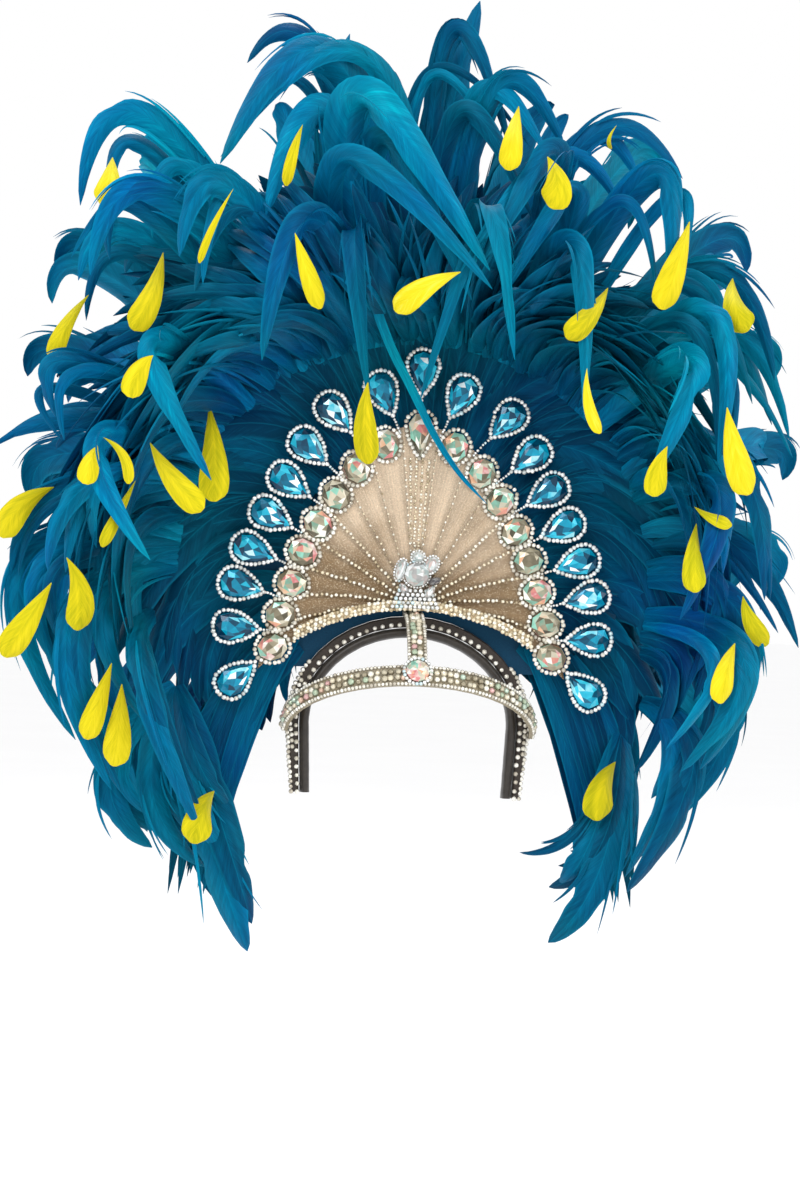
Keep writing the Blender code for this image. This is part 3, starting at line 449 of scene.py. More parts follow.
def rotated(x, y, turn):
    """A place turned about the origin."""
    return x * cos(turn) - y * sin(turn), x * sin(turn) + y * cos(turn)


def template(maker, **settings):
    """Points and triangles of a small form made by one of bmesh's makers."""
    builder = bmesh.new()
    maker(builder, **settings)
    bmesh.ops.triangulate(builder, faces=builder.faces)
    points = np.array([vertex.co for vertex in builder.verts])
    faces = np.array([[vertex.index for vertex in face.verts] for face in builder.faces])
    builder.free()
    return points, faces


BEAD = template(bmesh.ops.create_icosphere, subdivisions=2, radius=0.5)


def random_turns(count, rng):
    """Rotation matrices drawn at random."""
    q = rng.normal(size=(count, 4))
    q /= np.linalg.norm(q, axis=1, keepdims=True)
    w, x, y, z = q.T
    rows = [
        [1 - 2 * (y * y + z * z), 2 * (x * y - z * w), 2 * (x * z + y * w)],
        [2 * (x * y + z * w), 1 - 2 * (x * x + z * z), 2 * (y * z - x * w)],
        [2 * (x * z - y * w), 2 * (y * z + x * w), 1 - 2 * (x * x + y * y)],
    ]
    return np.array(rows).transpose(2, 0, 1)


class Beads:
    """Gathers beads, then makes one piece of them."""

    def __init__(self, form=BEAD):
        self.form = form
        self.places = []
        self.sizes = []

    def add(self, place, size):
        self.places.append(tuple(place))
        self.sizes.append(size)

    def string(self, points, size, spacing):
        """Beads along a line at an even spacing."""
        for point in evenly(points, spacing)[0]:
            self.add(point, size)

    def piece(self, name, material, slot, replaces=(), seed=SEED, jitter=0.0):
        """Each face keeps its bead's draw, how far it faces the front (turned into painted light and shade by
        bead_surface), and a draw of its own (a random painted sparkle).
        """
        rng = np.random.default_rng(seed)
        points, faces = self.form
        count = len(self.places)
        sizes = np.array(self.sizes) * rng.uniform(0.90, 1.10, count)
        turned = np.einsum("nij,pj->npi", random_turns(count, rng), points)
        places = np.array(self.places) + rng.normal(0, 1, (count, 3)) * jitter
        all_points = turned * sizes[:, None, None] + places[:, None, :]
        all_faces = faces[None] + (np.arange(count) * len(points))[:, None, None]
        # how far each face looks to the front: bead_surface paints light and shade from it
        front = -turned[:, faces].mean(axis=2)[..., 1] * 2
        draws = [np.repeat(rng.uniform(0, 1, count)[:, None], len(faces), axis=1), front]
        draws.append(rng.uniform(0, 1, front.shape))
        return make_piece(
            name, all_points, all_faces.reshape(-1, 3), material,
            smooth=False, slot=slot, replaces=replaces, tint=np.stack(draws, axis=2).reshape(-1, 3),
        )


def evenly(points, spacing):
    """Points at an even spacing along a line, and the line's direction at each."""
    points = np.array([tuple(point) for point in points])
    measure = lengths_along(points)
    count = max(int(round(measure[-1] / spacing)), 1)
    wanted = np.linspace(0, measure[-1], count + 1)
    out = np.stack([np.interp(wanted, measure, points[:, axis]) for axis in range(3)], axis=1)
    return out, directions(out)


# Materials


class Surface:
    """A material's nodes: each call adds one node, fed by values or by other nodes' outputs."""

    def __init__(self, name, roughness, metallic=0.0):
        self.material = bpy.data.materials.new(name)
        self.material.use_nodes = True
        self.nodes = self.material.node_tree.nodes
        self.shader = self.nodes["Principled BSDF"]
        self.set(Roughness=roughness, Metallic=metallic)

    def set(self, **sockets):
        for name, value in sockets.items():
            self.feed(self.shader, name.replace("_", " "), value)

    def feed(self, node, key, value):
        if isinstance(value, bpy.types.NodeSocket):
            self.material.node_tree.links.new(value, node.inputs[key])
        else:
            node.inputs[key].default_value = value

    def node(self, kind, values, out=0, **settings):
        node = self.nodes.new(f"ShaderNode{kind}")
        for name, value in settings.items():
            setattr(node, name, value)
        for key, value in values.items():
            self.feed(node, key, value)
        return node.outputs[out]

    def attribute(self, name, out="Fac"):
        return self.node("Attribute", {}, out, attribute_name=name)

    def parts(self, name):
        """The three numbers of a vector attribute."""
        return self.node("SeparateXYZ", {"Vector": self.attribute(name, "Vector")}).node.outputs

    def centred(self, value, swing, middle):
        """A value from 0 to 1 turned into a swing about a middle."""
        return self.calc("MULTIPLY_ADD", self.calc("SUBTRACT", value, 0.5), swing, middle)

    def calc(self, operation, first, second=0.0, third=0.0):
        return self.node("Math", {0: first, 1: second, 2: third}, operation=operation)

    def noise(self, scale, vector=None, detail=3.0, out="Fac"):
        values = {"Scale": scale, "Detail": detail}
        if vector is None:
            vector = self.node("TexCoord", {}, "Object")
        values["Vector"] = vector
        return self.node("TexNoise", values, out)

    def ramp(self, value, *stops, steps=False):
        """A colour ramp through (place, colour) stops."""
        node = self.nodes.new("ShaderNodeValToRGB")
        node.color_ramp.interpolation = "CONSTANT" if steps else "LINEAR"
        elements = node.color_ramp.elements
        while len(elements) < len(stops):
            elements.new(1.0)
        for element, (place, colour) in zip(elements, stops):
            element.position = place
            element.color = (*colour, 1.0)
        self.feed(node, "Fac", value)
        return node.outputs["Color"]

    def mix(self, share, first, second, kind="MIX"):
        node = self.nodes.new("ShaderNodeMix")
        node.data_type = "RGBA"
        node.blend_type = kind
        self.feed(node, 0, share)
        for key, colour in ((6, first), (7, second)):
            if isinstance(colour, tuple):
                colour = (*colour, 1.0)
            self.feed(node, key, colour)
        return node.outputs[2]

    def bump(self, height, strength, distance):
        normal = self.node("Bump", {"Strength": strength, "Distance": distance, "Height": height})
        self.set(Normal=normal)


def grey(level):
    return (level,) * 3


def feather_surface(name, colours, edge, shine, roughness=0.38, hues=0.18):
    """Barbed blade: streaks run out along the barbs, and a quill runs down the middle."""
    made = Surface(name, roughness)
    along, across, tint = made.parts("blade")
    off_quill = made.calc("ABSOLUTE", across)
    lag = made.calc("MULTIPLY_ADD", off_quill, -BARB_LENGTH, along)
    streaks = []
    for spread in (900.0, 160.0):
        values = {0: made.calc("MULTIPLY", lag, spread), 1: across, 2: made.calc("MULTIPLY", tint, 90.0)}
        streaks.append(made.noise(1.0, made.node("CombineXYZ", values), 2.0))
    shade = made.centred(streaks[1], 0.40, made.centred(streaks[0], 0.42, tint))
    bands = made.node("CombineXYZ", {
        0: made.calc("MULTIPLY", along, 14.0),
        1: made.calc("MULTIPLY", across, 2.6),
        2: made.calc("MULTIPLY", tint, 50.0),
    })
    shade = made.centred(made.noise(1.0, bands, 2.0), 0.55, shade)
    colour = made.ramp(shade, *colours)
    drift = made.centred(made.noise(7.0), hues, 0.5)
    colour = made.node("HueSaturation", {"Hue": drift, "Color": colour})
    # Both edges and the quill are mixed toward the edge colour: the quill line is the feather's own; on the
    # blue the paler edges are a painted highlight, on the yellow they are darker olive
    rim = made.ramp(off_quill, (0.0, grey(0.28)), (0.05, grey(0)), (0.78, grey(0)), (1.0, grey(0.28)))
    colour = made.mix(rim, colour, edge)
    made.set(Base_Color=colour, Specular_IOR_Level=0.3, Specular_Tint=(*shine, 1.0))
    made.bump(streaks[0], 0.5, 0.0005)
    return made.material


def bead_surface(name, roughness, *stops):
    """Beads with painted light: the faces that look to the front are painted bright, their sides painted
    darker, and each facet gets a random painted sparkle.
    """
    made = Surface(name, roughness, 0.25)
    bead, front, face = made.parts("tint")
    # painted light: facing the front and a random draw per facet make a face bright; the sides fall off into
    # painted shade
    lit = made.calc("MULTIPLY_ADD", face, 0.5, made.calc("SUBTRACT", front, 0.25))
    shade = made.ramp(lit, (0.05, grey(0.42)), (0.40, grey(0.80)), (0.75, grey(1.0)))
    colour = made.mix(1.0, made.ramp(bead, *stops, steps=True), shade, "MULTIPLY")
    made.set(Base_Color=colour, Coat_Weight=0.6, Coat_Roughness=0.05)
    return made.material


def stone_surface(name, *stops):
    """Foil-backed cut stone under a clear coat: each facet's colour is drawn along the scale, partly the
    stone's own colour and partly painted reflection, with painted glints in its palest facets.
    """
    made = Surface(name, 0.12, 0.2)
    drift = made.noise(240.0, None, 1.0)
    shade = made.centred(drift, 0.16, made.attribute("flash"))
    made.set(Base_Color=made.ramp(shade, *stops), Specular_IOR_Level=0.35)
    made.set(Coat_Weight=0.2, Coat_Roughness=0.04)
    return made.material


def glitter_surface(name, low, high, fleck, pleats=True):
    """Glitter cloth: dark gold toward the fan's low sides, paler above, and shaded across each pleat."""
    made = Surface(name, 0.5, 0.1)
    place = made.node("TexCoord", {}, "Object")
    cells = made.node("TexVoronoi", {"Vector": place, "Scale": fleck}, "Color")
    spark = made.node("SeparateColor", {"Color": cells}, "Red")
    cloth = high
    if pleats:
        across, along, lowness = made.parts("pleat")
        share = made.centred(made.noise(25.0), 0.8, lowness)
        cloth = made.mix(made.ramp(share, (0.28, grey(0)), (0.72, grey(1))), high, low)
        fold = made.ramp(
            across,
            (0.00, grey(0.55)), (0.07, grey(0.80)), (0.30, grey(1.0)),
            (0.60, grey(0.94)), (0.93, grey(0.80)), (1.00, grey(0.55)),
        )
        cloth = made.mix(1.0, cloth, fold, "MULTIPLY")
        threads = made.node("CombineXYZ", {0: made.calc("MULTIPLY", across, 14.0), 1: along})
        fine = made.ramp(made.noise(1.0, threads, 2.0), (0.30, grey(0.80)), (0.60, grey(1.0)))
        cloth = made.mix(1.0, cloth, fine, "MULTIPLY")
    grain = made.ramp(made.noise(900.0, None, 2.0), (0.30, grey(0.76)), (0.70, grey(1.0)))
    cloth = made.mix(1.0, cloth, grain, "MULTIPLY")
    lit = made.ramp(spark, (0.86, grey(0)), (0.98, grey(0.65)))
    made.set(Base_Color=made.mix(lit, cloth, (1.0, 0.88, 0.66)))
    made.set(Roughness=made.calc("MULTIPLY_ADD", spark, -0.25, 0.6))
    made.bump(spark, 0.6, 0.0004)
    return made.material


def cloth_surface(name, colour, lighter, roughness, scale, height):
    """Plain cloth, felt or satin: a fine grain between two shades."""
    made = Surface(name, roughness)
    grain = made.noise(scale, None, 4.0)
    made.set(Base_Color=made.ramp(grain, (0.3, colour), (0.8, lighter)), Sheen_Weight=0.1)
    made.bump(grain, 0.4, height)
    return made.material


BLUE = feather_surface(
    "blue_feather",
    [
        (0.00, (0.0, 0.026, 0.066)),
        (0.30, (0.0, 0.066, 0.140)),
        (0.55, (0.0, 0.112, 0.220)),
        (0.78, (0.0, 0.180, 0.340)),
        (1.00, (0.0, 0.350, 0.540)),
    ],
    # the paler edge colour: a painted highlight along the blue feathers' edges
    (0.0, 0.260, 0.420),
    (0.10, 0.60, 1.00),
)
YELLOW = feather_surface(
    "yellow_feather",
    [
        (0.05, (0.20, 0.23, 0.006)),
        (0.35, (0.44, 0.41, 0.008)),
        (0.60, (0.68, 0.57, 0.012)),
        (0.80, (0.80, 0.66, 0.020)),
        (1.00, (0.86, 0.76, 0.08)),
    ],
    (0.42, 0.40, 0.01),
    (1.0, 0.85, 0.10),
    roughness=0.5,
    hues=0.03,
)
SILVER = bead_surface(
    "silver_bead", 0.16,
    (0.00, (0.88, 0.90, 0.88)),
    (0.35, (0.62, 0.64, 0.62)),
    (0.50, (1.00, 1.00, 0.98)),
    (0.85, (0.80, 0.76, 0.68)),
    (0.92, (0.62, 0.80, 0.84)),
)
PALE = bead_surface(
    "pale_bead", 0.18,
    (0.00, (0.80, 0.76, 0.66)),
    (0.35, (0.52, 0.47, 0.38)),
    (0.50, (1.00, 0.97, 0.88)),
    (0.85, (0.62, 0.58, 0.48)),
)
CHAMPAGNE = bead_surface(
    "champagne_bead", 0.18,
    (0.00, (0.86, 0.74, 0.52)),
    (0.25, (0.52, 0.42, 0.26)),
    (0.40, (1.00, 0.95, 0.80)),
    (0.80, (0.90, 0.80, 0.60)),
)
PAVE = bead_surface(
    "pave_stone", 0.16,
    (0.00, (0.60, 0.54, 0.40)),
    (0.22, (0.36, 0.31, 0.21)),
    (0.36, (0.82, 0.74, 0.56)),
    (0.60, (0.98, 0.94, 0.80)),
    (0.74, (0.46, 0.56, 0.40)),
    (0.82, (0.72, 0.50, 0.38)),
    (0.88, (0.58, 0.72, 0.58)),
    (0.95, (0.74, 0.44, 0.42)),
)
AQUA = stone_surface(
    "aqua_stone",
    (0.00, (0.000, 0.028, 0.070)),
    (0.22, (0.000, 0.080, 0.150)),
    (0.42, (0.000, 0.190, 0.330)),
    (0.60, (0.000, 0.350, 0.540)),
    (0.76, (0.030, 0.580, 0.780)),
    (0.86, (0.420, 0.860, 0.960)),
    (0.95, (0.95, 1.00, 1.00)),
)
CRYSTAL = stone_surface(
    "crystal_stone",
    (0.00, (0.070, 0.062, 0.040)),
    (0.16, (0.180, 0.155, 0.100)),
    (0.34, (0.420, 0.370, 0.260)),
    (0.42, (0.190, 0.360, 0.270)),
    (0.52, (0.300, 0.660, 0.520)),
    (0.60, (0.560, 0.520, 0.400)),
    (0.70, (0.720, 0.640, 0.480)),
    (0.78, (0.780, 0.440, 0.260)),
    (0.86, (0.620, 0.190, 0.200)),
    (0.94, (0.94, 0.92, 0.82)),
)
CLEAR = stone_surface(
    "clear_crystal",
    (0.00, (0.07, 0.07, 0.08)),
    (0.25, (0.18, 0.17, 0.17)),
    (0.45, (0.40, 0.40, 0.39)),
    (0.60, (0.66, 0.50, 0.46)),
    (0.72, (0.46, 0.56, 0.54)),
    (0.84, (0.84, 0.86, 0.86)),
)
FAN_CLOTH = glitter_surface("fan_glitter", (0.30, 0.19, 0.09), (0.84, 0.65, 0.46), 2600.0)
TRIM_CLOTH = glitter_surface("trim_glitter", (0.44, 0.30, 0.14), (0.70, 0.52, 0.30), 2600.0, pleats=False)
SETTING = cloth_surface("stone_setting", (0.16, 0.13, 0.08), (0.42, 0.35, 0.22), 0.40, 900.0, 0.0005)
# The backing panel's felt: dark like the real felt, and tinted navy as painted shade standing for the shaded
# blue feathers around it
FELT = cloth_surface("backing_felt", (0.000, 0.040, 0.092), (0.000, 0.064, 0.140), 0.95, 900.0, 0.0004)
SATIN = cloth_surface("pad_satin", (0.014, 0.010, 0.007), (0.034, 0.026, 0.018), 0.42, 350.0, 0.0003)
RIM_CLOTH = cloth_surface("rim_cloth", (0.014, 0.009, 0.006), (0.046, 0.030, 0.020), 0.60, 700.0, 0.0004)


# Feathers

# Places across a blade, and its forms: places along it and its width at each as a share of the widest
BLADE_COLUMNS = np.array([-1.0, -0.5, 0.0, 0.5, 1.0])
BLADE_FORM = (
    [0.0, 0.08, 0.20, 0.40, 0.62, 0.80, 0.92, 0.98, 1.0],
    [0.45, 0.74, 0.94, 1.0, 0.92, 0.68, 0.42, 0.20, 0.02],
)
STRAND_FORM = ([0.0, 0.20, 0.60, 0.90, 1.0], [0.40, 1.0, 0.85, 0.40, 0.05])
LEAF_FORM = (
    [0.0, 0.08, 0.25, 0.50, 0.72, 0.87, 0.96, 1.0],
    [0.03, 0.18, 0.50, 0.85, 1.0, 0.96, 0.70, 0.25],
)
TWIST_PIVOT = 0.3
CAMBER_CURVE = 1.6
NOTCHES = 2
NOTCH_LENGTH = 0.05


def transported(along, facing, flatness=0.0):
    """The side direction of a strip, carried along its shaft without a flip, or kept flat to the front."""
    side = Vector(along[0]).cross(facing).normalized()
    sides = [side.copy()]
    for before, after in zip(along, along[1:]):
        side.rotate(Vector(before).rotation_difference(Vector(after)))
        flat = Vector(after).cross(facing)
        if flat.dot(side) < 0:
            flat = -flat
        side = (side * (1 - flatness) + flat * flatness).normalized()
        sides.append(side.copy())
    return np.array(sides)


def blade(spine, width, rng, facing, form, camber, twist, tint, uneven=0.0, flatness=0.0):
    """Rows of points across a feather, and each point's length along, place across and tint."""
    rows, columns = len(spine), len(BLADE_COLUMNS)
    share = np.linspace(0, 1, rows)
    along = directions(spine)
    side = transported(along, facing, flatness)
    up = np.cross(side, along)
    turn = (twist * (share - TWIST_PIVOT))[:, None]
    side, up = side * np.cos(turn) + up * np.sin(turn), up * np.cos(turn) - side * np.sin(turn)
    reach = np.repeat(np.interp(share, *form)[:, None] * (width / 2), columns, axis=1)
    if uneven:
        for outer, inner in ((0, 1), (4, 3)):
            for _ in range(NOTCHES):
                depth = uneven * rng.uniform(0, 1)
                dip = depth * np.exp(-((share - rng.uniform(0.2, 1)) / NOTCH_LENGTH) ** 2)
                reach[:, outer] *= 1 - dip
                reach[:, inner] *= 1 - dip / 2
    across = BLADE_COLUMNS[None, :] * reach
    drop = np.abs(BLADE_COLUMNS) ** CAMBER_CURVE * camber * reach
    points = spine[:, None, :] + side[:, None, :] * across[..., None] - up[:, None, :] * drop[..., None]
    facts = np.stack([
        np.repeat(lengths_along(spine)[:, None], columns, axis=1),
        np.repeat(BLADE_COLUMNS[None, :], rows, axis=0),
        np.full((rows, columns), tint),
    ], axis=2)
    return points, facts


class Blades:
    """Gathers feather blades, then makes one piece of them."""

    def __init__(self):
        self.points = []
        self.facts = []

    def add(self, points, facts):
        self.points.append(points)
        self.facts.append(facts)

    def piece(self, name, material, slot, replaces=()):
        faces = []
        first = 0
        for points in self.points:
            grid = np.arange(points.size // 3).reshape(points.shape[:2]) + first
            faces.append(grid_faces(grid))
            first += grid.size
        points = np.concatenate([block.reshape(-1, 3) for block in self.points])
        facts = np.concatenate([block.reshape(-1, 3) for block in self.facts])
        return make_piece(
            name, points, np.concatenate(faces), material,
            slot=slot, replaces=replaces, blade=facts,
        )


def bend(root, control, tip, rows):
    """Points on a quadratic curve."""
    share = np.linspace(0, 1, rows)[:, None]
    root, control, tip = (np.array(tuple(point)) for point in (root, control, tip))
    return root * (1 - share) ** 2 + control * 2 * share * (1 - share) + tip * share**2


def hub_point(bearing, radius, depth=0):
    """The place at a bearing and distance round the middle that the feathers leave from."""
    turn = radians(bearing)
    return Vector((radius * cos(turn), depth, HUB_HEIGHT + radius * sin(turn)))


def on_panel(bearing):
    """The bearing at which a feather's root still sits on the backing."""
    return min(max(bearing, LOWEST_RIGHT), LOWEST_LEFT)


def shaft(feather, reach, root_depth, root_radius, rows):
    """The spine of a feather from the table."""
    root = hub_point(on_panel(feather.bearing), root_radius, root_depth)
    tip_depth = reach * feather.tip_depth
    control_depth = 2 * reach * feather.arch_depth - (root_depth + tip_depth) / 2
    far = hub_point(feather.bearing, ROOT_RADIUS + PLUME_REACH * feather.lead)
    control = seen(far.x, far.z, control_depth)
    tip = seen(PLUME_REACH * feather.tip_x, FAN_DATUM_Z + PLUME_REACH * feather.tip_z, tip_depth)
    return bend(root, control, tip, rows)


def edge_radius(bearing):
    return PLUME_REACH * np.interp(bearing, EDGE_BEARINGS, EDGE_SHARES)


FEATHER_SPINES = []


def add_wisps(blades, spine, width, facing, tint, rng):
    """Loose barbs that leave a feather's edge and run beside it."""
    rows = len(spine)
    side = transported(directions(spine), facing)
    for _ in range(WISPS):
        first = int(rows * rng.uniform(*WISP_STARTS))
        count = min(int(rows * rng.uniform(*WISP_LENGTHS)), int(rows * WISP_LIMIT) - first)
        share = np.linspace(0, 1, count)[:, None]
        way = rng.choice([-1, 1])
        leave = way * width * (WISP_LEAVES_AT + rng.uniform(0.15, 0.45) * share**1.5)
        line = spine[first:first + count] + side[first:first + count] * leave
        line[:, 1] += rng.uniform(-0.002, 0.002) * share[:, 0]
        blades.add(*blade(
            line, rng.uniform(*WISP_WIDTHS), rng, facing, STRAND_FORM,
            camber=0.2, twist=rng.uniform(-1, 1), tint=tint + rng.uniform(-0.1, 0.25),
        ))


def companion(feather, root_radius, rng):
    """A slimmer and shorter feather that leaves nearly the same place as one of the table."""
    pull = rng.uniform(0.76, 0.98)
    stray = LOW_STRAY if feather.tip_z < LOW_TIP else STRAY
    bearing = feather.bearing + rng.uniform(-70, 70) * stray
    root = hub_point(on_panel(bearing), root_radius) / PLUME_REACH
    return Feather(
        bearing,
        root.x + (feather.tip_x - root.x) * pull + rng.uniform(-stray, stray),
        root.z + (feather.tip_z - root.z) * pull + rng.uniform(-stray, stray),
        feather.lead * rng.uniform(0.80, 1.02),
        feather.arch_depth * rng.uniform(0.75, 1.1),
        feather.tip_depth * rng.uniform(0.75, 1.1),
        feather.width * rng.uniform(0.45, 0.95),
    )


def add_table_feathers(sides, table, reach, root_depth, root_radius, rng):
    """The table's large feathers, each with wisps, and with companions where its tip is far out."""
    broad = 1.0 if reach < 0 else BACK_BROADER
    facing = FRONT if reach < 0 else -FRONT
    for feather in table:
        outer = np.hypot(feather.tip_x, feather.tip_z - PLUME_MIDDLE) > OUTER_TIP
        low = feather.tip_z < LOW_TIP
        for number in range(1 + (COMPANIONS if outer else 0)):
            shown = companion(feather, root_radius, rng) if number else feather
            clear = DROP_CLEARANCE if low else 0.0
            spine = shaft(shown, reach, root_depth, root_radius + clear, TABLE_ROWS)
            FEATHER_SPINES.append(spine)
            width = FEATHER_WIDTH * shown.width * rng.uniform(0.80, 1.0) * broad
            tint = rng.uniform(0.30, 0.74) - (LOW_DARKER if low else 0)
            blades = sides[bool(spine[TABLE_ROWS // 2][0] > 0)]
            blades.add(*blade(
                spine, width, rng, facing, BLADE_FORM, camber=rng.uniform(0.2, 0.55),
                twist=rng.uniform(-0.6, 0.6), tint=tint, uneven=0.35, flatness=0.30,
            ))
            if not number:
                add_wisps(blades, spine, width, facing, tint, rng)


# A layer of filling feathers: how many, the share of the way to the edge that tips reach, root radius,
# depth of root, arch and tip in shares of the reach, width as a share of FEATHER_WIDTH, tints
Layer = namedtuple("Layer", "count near far root root_depth arch_depth tip_depth width dark bright")
FRONT_LAYERS = rows_of(Layer, [
    (130, 0.80, 0.96, 0.090, 0.03, 0.06, 0.20, 1.15, 0.00, 0.30),
    (150, 0.80, 1.00, 0.172, 0.04, 0.36, 0.32, 0.85, 0.10, 0.42),
    (170, 0.70, 0.92, 0.174, 0.05, 0.60, 0.50, 0.78, 0.15, 0.52),
    (150, 0.68, 1.00, 0.174, 0.05, 0.64, 0.54, 0.16, 0.25, 0.75),
])
BACK_LAYERS = rows_of(Layer, [
    (110, 0.80, 0.96, 0.080, 0.08, 0.20, 0.25, 1.15, 0.00, 0.35),
    (140, 0.75, 1.00, 0.080, 0.12, 0.48, 0.38, 0.90, 0.10, 0.45),
    (130, 0.45, 0.85, 0.040, 0.14, 0.58, 0.56, 0.90, 0.15, 0.55),
    (120, 0.50, 0.96, 0.060, 0.12, 0.60, 0.54, 0.18, 0.25, 0.75),
])
FILL_ROWS = 22
FIRST_BEARING = -46
LAST_BEARING = 226
BASE_LAYER_ROOT = 0.1
STRAND_LAYER = 0.3
LIFT_AT_TOP = 5
LIFT_AT_SIDE = 44
LIFT_CURVE = 2.5
LOW_DROP_TURN = 120
LOW_DROP_SPREAD = 14
LONG_BASE_FEATHER = 0.27
SHORTEST_FEATHER = 0.03

# The skirt beside the hoop: where its roots, bends and tips lie across, from the inmost to the outmost
# feather, and how far below the crown they hang
SKIRT_COUNT = 60
SKIRT_ROOTS = (0.083, 0.120)
SKIRT_BENDS = (0.121, 0.159)
SKIRT_TIPS = (0.138, 0.170)
SKIRT_ROOTS_HANG = (0.002, 0.022)
SKIRT_BENDS_HANG = (0.050, 0.066)
SKIRT_TIPS_HANG = (0.130, 0.195)
SKIRT_DEPTHS = (0.003, 0.006)


def add_layer(sides, layer, reach, rng):
    """Feathers strewn round the hub: each leaves it above its tip's bearing, arches out and hangs down."""
    facing = FRONT if reach < 0 else -FRONT
    base = layer.root < BASE_LAYER_ROOT
    for index in range(layer.count):
        share = (index + rng.uniform(0, 1)) / layer.count
        bearing = FIRST_BEARING + (LAST_BEARING - FIRST_BEARING) * share
        tilt = abs(cos(radians(bearing))) ** LIFT_CURVE
        lift = (LIFT_AT_TOP + (LIFT_AT_SIDE - LIFT_AT_TOP) * tilt) * rng.uniform(0.5, 1.25)
        start = bearing + (lift if bearing < 90 else -lift)
        root_radius = layer.root * rng.uniform(1.0, 1.12)
        if abs(abs(start - 90) - LOW_DROP_TURN) < LOW_DROP_SPREAD and not base:
            root_radius += DROP_CLEARANCE
        root = hub_point(start, root_radius)
        tip_radius = edge_radius(bearing) * rng.uniform(layer.near, layer.far)
        tip = hub_point(bearing, tip_radius)
        span = (tip - root).length
        outward = (root - Vector((0, 0, HUB_HEIGHT))).normalized()
        control = root + outward * span * rng.uniform(0.45, 0.75)
        arch = reach * layer.arch_depth * rng.uniform(0.8, 1.2)
        root.y = reach * layer.root_depth * rng.uniform(0.6, 1.4)
        tip.y = reach * layer.tip_depth * rng.uniform(0.7, 1.2)
        if base and reach < 0:
            flatter = min(1.0, tip_radius / LONG_BASE_FEATHER) ** 4
            arch *= flatter
            tip.y *= flatter
        control.y = 2 * arch - (root.y + tip.y) / 2
        if tip_radius < root_radius + SHORTEST_FEATHER:
            continue
        spine = bend(root, *(seen(place.x, place.z, place.y) for place in (control, tip)), FILL_ROWS)
        form = BLADE_FORM if layer.width > STRAND_LAYER else STRAND_FORM
        sides[root.x > 0].add(*blade(
            spine, FEATHER_WIDTH * layer.width * rng.uniform(0.7, 1.15), rng, facing, form,
            camber=rng.uniform(0.2, 0.6), twist=rng.uniform(-0.7, 0.7),
            tint=rng.uniform(layer.dark, layer.bright), uneven=0.25,
        ))
        if reach < 0 and not base:
            FEATHER_SPINES.append(spine)


def add_skirt(sides, reach, rng):
    """Feathers that hang from the backing's two lower corners, beside the hoop."""
    facing = FRONT if reach < 0 else -FRONT
    way = -1 if reach < 0 else 1
    for index in range(SKIRT_COUNT):
        side = 1 if index % 2 else -1
        out = rng.uniform(0, 1)
        low = rng.uniform(0, 0.016) - between(SKIRT_ROOTS_HANG, out)
        root = Vector((side * between(SKIRT_ROOTS, out), way * rng.uniform(*SKIRT_DEPTHS), low))
        depth = root.y + way * rng.uniform(0, 0.001)
        across = between(SKIRT_TIPS, out) + rng.uniform(0, 0.006)
        tip = Vector((side * across, depth, -rng.uniform(*SKIRT_TIPS_HANG)))
        control = Vector((side * between(SKIRT_BENDS, out), root.y, -rng.uniform(*SKIRT_BENDS_HANG)))
        spine = bend(root, control, tip, FILL_ROWS)
        sides[side > 0].add(*blade(
            spine, FEATHER_WIDTH * rng.uniform(0.38, 0.62), rng, facing, BLADE_FORM,
            camber=rng.uniform(0.05, 0.12), twist=rng.uniform(-0.05, 0.05),
            tint=rng.uniform(0.0, 0.40), uneven=0.08,
        ))


def make_blue_feathers():
    """The plume's front and back, left and right, as four pieces."""
    rng = np.random.default_rng(SEED)
    front = (-FRONT_REACH, FRONT_ROOT_DEPTH, FRONT_ROOT_RADIUS)
    back = (BACK_REACH, BACK_ROOT_DEPTH, ROOT_RADIUS)
    settings = [
        ("front", FRONT_FEATHERS, front, FRONT_LAYERS, "blue_feather"),
        ("back", BACK_FEATHERS, back, BACK_LAYERS, "blue_feather_back"),
    ]
    for word, table, place, layers, slot in settings:
        reach = place[0]
        sides = {False: Blades(), True: Blades()}
        add_table_feathers(sides, table, *place, rng)
        for layer in layers:
            add_layer(sides, layer, reach, rng)
        add_skirt(sides, reach, rng)
        for right, blades in sides.items():
            side = "right" if right else "left"
            blades.piece(f"blue_feathers_{word}_{side}", BLUE, slot, [f"plume_{word}"])


def make_loose_strand():
    """The long narrow feather that trails down over the drops and the fan."""
    places = np.array(LOOSE_STRAND)
    share = np.linspace(0, 1, len(places))
    steps = np.linspace(0, 1, STRAND_ROWS)
    line = np.array([np.interp(steps, share, places[:, axis]) for axis in range(3)]).T
    for _ in range(STRAND_SMOOTHINGS):
        line[1:-1] = (line[:-2] + line[1:-1] * 2 + line[2:]) / 4
    spine = np.array([tuple(seen(*place)) for place in line])
    blades = Blades()
    rng = np.random.default_rng(SEED + 14)
    blades.add(*blade(
        spine, STRAND_WIDTH, rng, FRONT, STRAND_FORM, camber=0.2, twist=0.1, tint=0.72, flatness=0.7,
    ))
    blades.piece("loose_feather", BLUE, "blue_feather")


def carrier(shafts, places, x, z):
    """The frontmost point of the feathers' shafts that the view shows close to a place."""
    far = np.hypot(places[:, 0] - x, places[:, 1] - z)
    close = np.flatnonzero(far < CARRIER_SEARCH)
    if len(close) == 0:
        return shafts[far.argmin()]
    return shafts[close[shafts[close, 1].argmin()]]


def front_depth(shafts, places, x, z):
    """How far forward the feathers' shafts come round a place of the view."""
    close = np.hypot(places[:, 0] - x, places[:, 1] - z) < COVER_SEARCH
    return shafts[close, 1].min() if close.any() else 0.0


